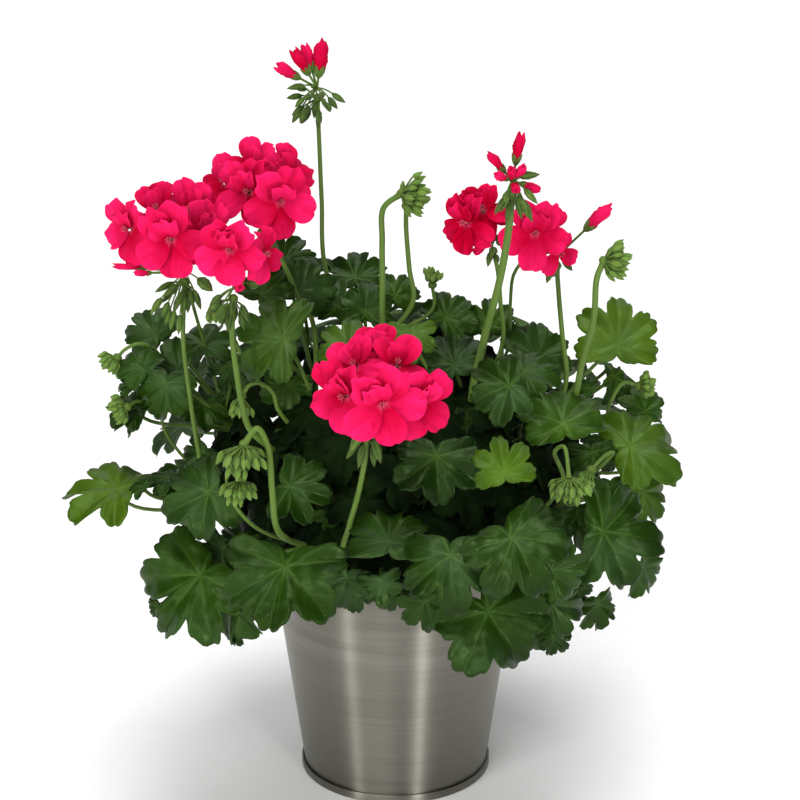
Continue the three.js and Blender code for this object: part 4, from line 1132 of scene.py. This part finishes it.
# %% Young leaves and thin stalks
YOUNG_LEAVES = [
    ("upper_right", (142, -8, 281, 17, -40, 10, 35, 0.7)),
    ("upper_right", (126, -22, 278, 18, 150, -10, 40, 0.5)),
    ("upper_left", (-169, -38, 285, 20, 150, -30, 40, 0.5)),
    ("left", (-146, -48, 226, 32, 172, -15, 76, 0.35)),
    ("front_left", (-150, -96, 157, 17, -120, -35, 0, 0.3)),
    ("front_left", (-100, -112, 146, 18, -100, -30, 5, 0.15)),
    ("right", (114, -92, 166, 24, -60, 20, 10, 0.2)),
    ("front_right", (98, -124, 149, 24, -45, 15, 10, 0.15)),
    ("right", (124, -70, 251, 34, -90, 10, 15, 0.3)),
    ("right", (136, -76, 230, 34, -90, 20, 15, 0.3)),
    ("front_left", (-109, -85, 192, 36, -120, -20, 15, 0.15)),
    ("front_middle", (-26, -104, 174, 34, -80, 0, 5, 0.25)),
    ("front_middle", (-1, -106, 174, 30, -100, 5, 5, 0.3)),
    ("centre_left", (-84, -40, 346, 38, 60, -10, 25, 0.4)),
    ("left", (-161, -60, 224, 20, 170, -30, 60, 0.35)),
    ("left", (-123, -45, 242, 32, -120, -20, 25, 0.2)),
]
THIN_STALKS = [
    ("centre_right", 1.0, [(73, -6, 298), (74, -14, 332), (76, -21, 355), (86, -27, 368), (100, -31, 371)]),
    ("upper_left", 0.95, [(-113, -8, 279), (-122, -22, 307), (-128, -40, 341), (-130, -54, 359)]),
    ("left", 0.9, [(-145, -40, 249), (-150, -42, 268), (-146, -45, 287)]),
]
THIN_STALK_RADIUS = 1.1

made = [s for i, (name, row) in enumerate(YOUNG_LEAVES) for s in leaf_with_stalk(row, i, route_of(name))]
for name, leaves_at, points in THIN_STALKS:
    line = curve_through([curve_through(route_of(name), leaves_at), *points], np.linspace(0, 1, 20))
    made.append(tube(line, THIN_STALK_RADIUS, 8, 0.5, FOLIAGE["stalk"]))
piece("young_growth", made, foliage_finishes, None)

# %% [markdown]
# ## The flowers
# A flower head is a round cluster of florets on thin stalks from one point. A floret has five broad petals,
# about as wide as they are long, that overlap and ruffle at their rims. They are a strong pink-red, with
# painted shade that deepens them towards the base where they overlap, and paler right at the base, with fine
# veins that fan out. Behind them are five green sepals, and in the middle a few thin threads and, in a floret
# of five petals, two small raised petals.

# %% The finish of the petals
BLOOM = {"petal": 0, "petal back": 1, "stalk": 2, "sepal": 3, "thread": 4}


def petal_finish(name, deep, bright, sheen):
    petal = Finish(name)
    along, across, _ = petal.surface()
    fan = petal.maths("DIVIDE", petal.maths("SUBTRACT", across, 0.5), petal.maths("ADD", along, 0.25))
    lines = petal.ramp(petal.maths("PINGPONG", petal.maths("MULTIPLY", fan, 14.0), 0.5), 0.0, 0.5)
    mottle = petal.noise(petal.place(), 110.0, 3.0)
    # The share grows along the petal: deep crimson at the base is painted shade where petals overlap, and the
    # bright tip is painted light.
    share = petal.total(petal.tone(), (along, 0.8), (lines, 0.08), (mottle, 0.5))
    colour = petal.blend(petal.ramp(share, 0.45, 1.65), deep, bright)
    colour = petal.blend(petal.ramp(along, 0.0, 0.2, 0.75, 0.0), colour, (0.66, 0.08, 0.2))
    petal.look({"Base Color": colour, "Roughness": 0.65})
    petal.look({"Specular IOR Level": 0.05, "Specular Tint": (1, 0.1, 0.3)})
    petal.look({"Sheen Weight": sheen, "Sheen Roughness": 0.5, "Sheen Tint": (1, 0.2, 0.4)})
    petal.bump(petal.total(mottle, (lines, 0.3)), 0.0005, 0.4)
    return petal.material


def thread_finish():
    thread = Finish("stamen_threads")
    _, along, _ = thread.surface()
    share = thread.total(0.0, (along, 6.0), (thread.noise(thread.place(), 300.0, 2.0), 0.3))
    colour = thread.blend(thread.ramp(share, 0.2, 1.0), (0.85, 0.45, 0.5), (0.5, 0.03, 0.08))
    thread.look({"Base Color": colour, "Roughness": 0.6})
    return thread.material


bloom_finishes = [
    petal_finish("petal_face", (0.44, 0.0001, 0.02), (0.86, 0.014, 0.13), 0.03),
    petal_finish("petal_back", (0.5, 0.001, 0.03), (0.82, 0.025, 0.14), 0.05),
    foliage_finishes[FOLIAGE["stalk"]],
    foliage_finishes[FOLIAGE["bud"]],
    thread_finish(),
]
print("bloom finishes:", [m.name for m in bloom_finishes])

# %% One petal
PETAL_RINGS = np.array([0.2, 0.45, 0.68, 0.86, 0.96, 1.0])
PETAL_COLUMNS = 40
PETAL_THICKNESS = 0.5
PETAL_START, PETAL_MIDDLE = 0.06, 0.55
TIP_NOTCH, TIP_NOTCH_WIDTH = 0.035, 0.12
PETAL_FOLD, PETAL_CURL, PETAL_RUFFLE = 0.35, 0.2, 0.09


def petal(core, axis, around, length, cup, spread, phase, tone):
    """
    A rounded fan. At an angle a from the tip, its rim lies start + half * (1 + cos(a)) along the petal, less
    a small notch at the tip, and spread * sin(a) * (0.6 + 0.55 * along) across it, which makes it broader
    towards the tip. Each ring is the rim drawn in towards the petal's middle. The height above the flat is
    fold * across^2 / spread - curl * along^3 + 0.09 * ruffle * along^2: the petal is folded along its middle
    line, up or down by its phase, it curls back at its tip, and two sines across it ruffle its outer part.
    """
    flat_ahead = swing(*axes_across(axis), around)
    cup = math.radians(cup)
    ahead = flat_ahead * math.cos(cup) + axis * math.sin(cup)
    normal = axis * math.cos(cup) - flat_ahead * math.sin(cup)
    turn = circle(PETAL_COLUMNS)
    half = (1 - PETAL_START) / 2
    rim_along = PETAL_START + half + half * np.cos(turn)
    notched = rim_along - TIP_NOTCH * np.exp(-((turn / TIP_NOTCH_WIDTH) ** 2))
    rim_across = spread * np.sin(turn) * (0.6 + 0.55 * rim_along)
    share = PETAL_RINGS[:, None]
    along = PETAL_MIDDLE + (notched - PETAL_MIDDLE) * share
    across = rim_across * share
    fold = PETAL_FOLD * math.sin(3 * phase)
    ruffle = np.sin(5.5 * across / spread + phase) + 0.7 * np.sin(9.5 * across / spread + 2.1 * phase)
    height = fold * across**2 / spread - PETAL_CURL * along**3 + PETAL_RUFFLE * ruffle * along**2
    flat = np.stack([along, across], axis=-1) * length
    uv = np.stack([along, 0.5 + across], axis=-1)
    axes = (ahead, np.cross(normal, ahead), normal)
    finishes = (BLOOM["petal back"], BLOOM["petal"])
    return sheet(core, axes, flat, height * length, PETAL_THICKNESS, uv, tone, finishes)


# %% One floret
FLORET_TILTS = (0, 14, -16, 24, -10, 8)
RAISED_PETALS = 2
RAISED_PETAL, SPREAD_PETAL = 34, 6
PETAL_SPREAD = 0.42
PETAL_DIRECTIONS = {4: (60, 120, 225, 315), 5: (58, 122, 205, 270, 335)}
SMALL_PETAL_DIRECTIONS = (75, 112)
SEPALS, SEPAL_LENGTH, SEPAL_RADIUS = 5, 8.5, 1.5
THREADS, THREAD_LENGTH, THREAD_SPREAD = 6, 7, 1.8
THREAD_RADII = np.array([0.35, 0.3, 0.3, 0.5, 0.5])
PEDICEL_RADIUS = 0.8


def sepal(start, direction, length, radius):
    """A slim pointed leaf-like drop."""
    return bud(start, direction, length, radius, 0.6, BLOOM["sepal"])


def floret(hub, row, index, chance, shade):
    """Petals round a core, sepals behind them, threads in front, and a bent stalk down to the hub."""
    x, y, z, petals, length, turn, lift = row
    core, axis = np.array([x, y, z], float), facing(turn, lift)
    across = axes_across(axis)
    made = []
    tilt = FLORET_TILTS[index]
    for i, direction in enumerate(PETAL_DIRECTIONS[petals]):
        around = math.radians(tilt + direction + chance.uniform(-7, 7))
        cup = (RAISED_PETAL if i < RAISED_PETALS else SPREAD_PETAL) + chance.uniform(-8, 8)
        spread = PETAL_SPREAD * chance.uniform(0.94, 1.1)
        size = length * chance.uniform(0.95, 1.05)
        size *= 1.04 if math.sin(around) < -0.5 else 1
        base = core + axis * 0.5 * (i % 3)
        tone = chance.uniform(0.0, 0.5) - shade
        made.append(petal(base, axis, around, size, cup, spread, chance.uniform(0, 6.28), tone))
    for direction in SMALL_PETAL_DIRECTIONS if petals == 5 else ():
        around = math.radians(tilt + direction + chance.uniform(-14, 14))
        size, cup = length * chance.uniform(0.6, 0.75), chance.uniform(46, 64)
        base = core + axis * 1.5
        tone = chance.uniform(0.1, 0.6) - shade
        made.append(petal(base, axis, around, size, cup, PETAL_SPREAD, chance.uniform(0, 6.28), tone))
    for around in circle(SEPALS) + math.radians(tilt + 36):
        out = unit(swing(*across, around) * 0.8 - axis * 0.5)
        made.append(sepal(core - axis * 3.5, out, SEPAL_LENGTH, SEPAL_RADIUS))
    t = np.linspace(0, 1, 5)[:, None]
    for i in range(THREADS):
        line = core + t * axis * THREAD_LENGTH + t**2 * swing(*across, 1.05 * i) * THREAD_SPREAD
        made.append(tube(line, THREAD_RADII, 5, 0.5, BLOOM["thread"]))
    t = np.linspace(0, 1, 12)
    line = bent_line([hub, core - axis * 0.3 * np.linalg.norm(core - hub), core - axis], t)
    radii = PEDICEL_RADIUS * np.interp(t, [0, 0.8, 1], [1, 1, 2.2])
    made.append(tube(line, radii, 7, 0.8, BLOOM["stalk"]))
    return made


# %% One red bud
RED_BUD_COLUMNS = 24


def red_bud(hub, row, chance):
    """
    A furled bud. Its radius grows from the base, stays broad and narrows to half at the open top, where a
    last small ring closes it from within. Three petal edges wind round it: a wave of the angle with a turn
    along its length moves the radius in and out, and sines of the angle make the top uneven. Five sepals
    hold its base.
    """
    x, y, z, length, radius = row
    tip = np.array([x, y, z], float)
    direction = unit(tip - hub)
    base = tip - direction * length
    across = axes_across(direction)
    t = np.concatenate([np.linspace(0.02, 1, 12), [0.8]])[:, None]
    around = circle(RED_BUD_COLUMNS)
    belly = radius * (1 - (1 - t) ** 2.4) ** 0.8 * (1 - 0.5 * t**5)
    belly[-1] = 0.15 * radius
    wound = (1.5 * around / np.pi + 1.1 * t + chance.uniform(0, 1)) % 1
    rings = belly * (0.82 + 0.3 * wound**2 + 0.07 * np.sin(7 * around + 5 * t))
    uneven = 0.06 * np.sin(2 * around + chance.uniform(0, 6)) + 0.035 * np.sin(5 * around)
    heights = (t + (uneven - 0.06) * t**4) * length
    grid = base + heights[..., None] * direction + rings[..., None] * swing(*across, around)
    uv = np.stack(np.broadcast_arrays(0.3 + 0.5 * t, wound), axis=-1)
    made = [skin(grid, uv, base, grid[-1].mean(axis=0), chance.uniform(-0.1, 0.4), BLOOM["petal"])]
    for i in range(SEPALS):
        out = unit(direction + 0.45 * swing(*across, 1.257 * i))
        made.append(sepal(base - direction, out, 0.42 * length, 0.3 * radius))
    line = bent_line([hub, (hub + base) / 2, base], np.linspace(0, 1, 8))
    made.append(tube(line, PEDICEL_RADIUS, 7, 0.8, BLOOM["stalk"]))
    return made


# %% [markdown]
# ## Where each head stands
# A head's hub, where its thin stalks meet, is just above the end of its flower stalk. A floret has the place
# of its middle, its number of petals and their length, and where its face looks. A red bud has the place of
# its tip, its length and its radius.

# %% The flower heads
FLOWER_HEADS = {
    "left": {
        "florets": [
            (-161, -68, 395, 5, 21, -35, 10),
            (-134, -94, 395, 5, 24, -8, 8),
            (-116, -76, 395, 5, 20, 22, 20),
            (-146, -50, 401, 5, 19, -18, 50),
            (-126, -52, 402, 5, 20, 6, 42),
            (-136, -28, 388, 5, 20, 165, 25),
        ],
        "red_buds": [
            (-173, -76, 374, 22, 2.3),
            (-159, -80, 370, 12, 2.4),
        ],
    },
    "upper_left": {
        "florets": [
            (-70, -68, 412, 5, 23, 15, 10),
            (-89, -58, 416, 5, 22, -18, 14),
            (-88, -38, 427, 5, 19, -10, 45),
            (-67, -40, 422, 5, 20, 35, 34),
            (-106, -22, 413, 5, 20, -30, 36),
            (-76, -14, 412, 5, 20, 180, 25),
        ],
    },
    "low_left": {
        "florets": [
            (-97, -112, 393, 5, 22, -8, 6),
            (-80, -92, 385, 4, 18, 42, 12),
        ],
        "red_buds": [(-92, -104, 368, 12, 3.6)],
    },
    "tall": {
        "red_buds": [
            (-45, 0, 500, 24, 5.5),
            (-64, -4, 495, 20, 4.5),
            (-75, -6, 485, 18, 4.5),
            (-57, 4, 497, 18, 4),
        ],
    },
    "front": {
        "florets": [
            (-28, -166, 320, 5, 24, -28, 6),
            (-7, -180, 320, 5, 25, 0, 4),
            (14, -166, 316, 5, 22, 30, 6),
            (-23, -148, 331, 5, 20, -18, 44),
            (1, -146, 331, 5, 20, 14, 48),
            (-10, -134, 336, 5, 18, 0, 66),
        ],
    },
    "right_front": {
        "red_buds": [
            (75, -90, 459, 20, 4),
            (55, -92, 447, 16, 3.4),
            (87, -92, 424, 13, 3.4),
            (59, -98, 435, 11, 3.4),
            (72, -104, 426, 12, 3.4),
        ],
    },
    "right_dark": {
        "florets": [
            (45, -44, 393, 5, 20, -35, 10),
            (55, -38, 399, 5, 18, -12, 34),
            (54, -14, 390, 5, 18, 170, 30),
        ],
        "red_buds": [(49, -52, 376, 13, 3.4)],
    },
    "right": {
        "florets": [
            (86, -58, 390, 5, 22, 4, 12),
            (101, -46, 375, 4, 15, 20, 0),
            (95, -16, 382, 5, 17, 15, 46),
        ],
        "red_buds": [(134, -44, 404, 24, 5)],
    },
}

# %% [markdown]
# ## Buds among the flowers
# Green buds hang from the same point as the florets and wait for their turn. Each row has the place of a
# bud's tip, its length and its radius. They are finer than the model, so they stand only here.

# %% The waiting buds
GREEN_BUDS = {
    "tall": [(-68, -6, 470, 12, 2.2), (-31, -6, 461, 11, 2.2), (-36, -6, 457, 10, 2.2),
        (-43, -6, 457, 8, 1.8), (-65, -6, 448, 11, 2.2), (-60, -6, 448, 11, 2.6), (-63, -6, 458, 9, 2),
        (-51, -6, 451, 10, 2), (-53, -6, 471, 6, 1.5)],
    "right_front": [(63, -98, 412, 14, 2.4), (65, -98, 414, 11, 2.2), (82, -98, 406, 15, 2.4),
        (79, -98, 409, 13, 2.6), (85, -98, 417, 13, 2.3), (76, -98, 412, 11, 2.2), (86, -98, 435, 15, 2.8)],
    "right_dark": [(58, -42, 364, 11, 2.2), (60, -42, 370, 9, 2), (67, -42, 378, 8, 2),
        (50, -42, 383, 9, 1.8), (65, -42, 383, 7, 2.4)],
    "right": [(84, -44, 362, 14, 2.8), (95, -44, 354, 12, 2.5), (111, -44, 362, 11, 2.4)],
    "left": [(-151, -70, 341, 13, 2.4), (-144, -70, 339, 11, 2.3), (-139, -70, 331, 13, 2.4),
        (-134, -70, 328, 13, 2.2), (-142, -70, 334, 11, 2.3), (-121, -70, 349, 9, 1.8),
        (-112, -70, 356, 13, 4)],
    "low_left": [(-114, -96, 348, 13, 2.6), (-109, -96, 344, 12, 2), (-105, -96, 344, 12, 2.8),
        (-112, -96, 354, 10, 2.3), (-80, -96, 369, 10, 4.4)],
    "front": [(-26, -158, 282, 13, 3.2), (-8, -158, 275, 15, 3)],
}
SMALL_RED_BUDS = {"right_front": [(69, -100, 440, 15, 3.2), (77, -100, 441, 15, 3.2)]}


def waiting_bud(hub, row):
    """A green bud on a bent thread from the hub. It points the way its thread arrives, a little downward."""
    tip, (length, radius) = np.array(row[:3], float), row[3:]
    direction = unit(unit(tip - hub) - (0, 0, 0.15))
    base = tip - direction * length
    line = bent_line([hub, (hub + base) / 2 + (0, 0, 1.5), base], np.linspace(0, 1, 6))
    body = bud(base, direction, length, radius, 0.3 + 0.08 * (length % 5), BLOOM["sepal"])
    return [body, tube(line, 0.55, 5, 0.8, BLOOM["stalk"])]


# %% Make the heads
HUB_RISE = 6.5
KNOB_LENGTH, KNOB_RADIUS = 6, 2.6
# How much darker the petals of a head are as a whole.
SHADES = {"right_dark": 0.5, "left": 0.1}
for number, (name, head) in enumerate(FLOWER_HEADS.items()):
    chance = np.random.default_rng(100 + number)
    stem, stalk = HEAD_STALKS[name]
    hub = np.array(LEAFY_STEMS[stem]["stalks"][stalk][3][-1]) + (0, 0, HUB_RISE)
    # The knob at the hub points straight up, so axes_across gives it no width and it doesn't show.
    bottom = hub - (0, 0, KNOB_LENGTH / 2)
    made = [bud(bottom, (0, 0, 1), KNOB_LENGTH, KNOB_RADIUS, 0.7, BLOOM["stalk"])]
    for index, row in enumerate(head.get("florets", [])):
        made += floret(hub, row, index, chance, SHADES.get(name, 0))
    for row in head.get("red_buds", []) + SMALL_RED_BUDS.get(name, []):
        made += red_bud(hub, row, chance)
    for row in GREEN_BUDS.get(name, []):
        made += waiting_bud(hub, row)
    piece("blooms_" + name, made, bloom_finishes, "flower_head_" + name)

# %% [markdown]
# ## The stage
# The plant stands on a wide white floor in soft light. A broad sun above is the main light, a second one at
# the front left opens up the shade under the leaves, and a weak one behind lights the petals' edges. Two
# upright strips draw the streaks on the brushed metal. The world adds only a little light from all round.

# %% The floor
FLOOR_SIZE = 60


def paper_finish():
    paper = Finish("pale_paper")
    grain = paper.noise(paper.place(), 40.0, 3.0)
    paper.look({"Base Color": paper.blend(grain, (0.92, 0.92, 0.92), (0.95, 0.95, 0.95))})
    paper.look({"Roughness": 0.9, "Specular IOR Level": 0.1})
    return paper.material


bpy.ops.mesh.primitive_plane_add(size=FLOOR_SIZE, location=(0, 0, 0))
floor = bpy.context.object
floor.name = "floor"
floor.data.materials.append(paper_finish())

# %% The light
AIM = (0, 0, 0.25)
SUNS = (
    ("top", (0.1, -0.2, 2.2), 2.3, 40),
    ("front", (-0.6, -1.6, 1.3), 1.5, 40),
    ("back", (0.1, 1.2, 1.6), 0.7, 50),
)
STRIPS = (("strip right", (0.7, -1.5, 0.24), 9), ("strip left", (-1.1, -1.2, 0.24), 5.5))
STRIP_WIDTH, STRIP_HEIGHT = 0.1, 0.46
WORLD_STRENGTH = 0.1


def light(name, kind, place, power):
    """A lamp at a place that looks at the middle of the plant."""
    data = bpy.data.lights.new(name, kind)
    data.energy = power
    made = bpy.data.objects.new(name, data)
    made.location = place
    look = np.array(AIM) - np.array(place)
    rise = math.atan2(look[2], math.hypot(look[0], look[1]))
    made.rotation_euler = (math.pi / 2 + rise, 0, math.atan2(look[1], look[0]) - math.pi / 2)
    bpy.context.scene.collection.objects.link(made)
    return data


for name, place, power, softness in SUNS:
    light(name, "SUN", place, power).angle = math.radians(softness)
for name, place, power in STRIPS:
    strip = light(name, "AREA", place, power)
    strip.shape = "RECTANGLE"
    strip.size, strip.size_y = STRIP_WIDTH, STRIP_HEIGHT

world = bpy.data.worlds.new("studio")
bpy.context.scene.world = world
world.use_nodes = True
world.node_tree.nodes["Background"].inputs["Color"].default_value = (1, 1, 1, 1)
world.node_tree.nodes["Background"].inputs["Strength"].default_value = WORLD_STRENGTH
bpy.context.scene.view_settings.view_transform = "Standard"
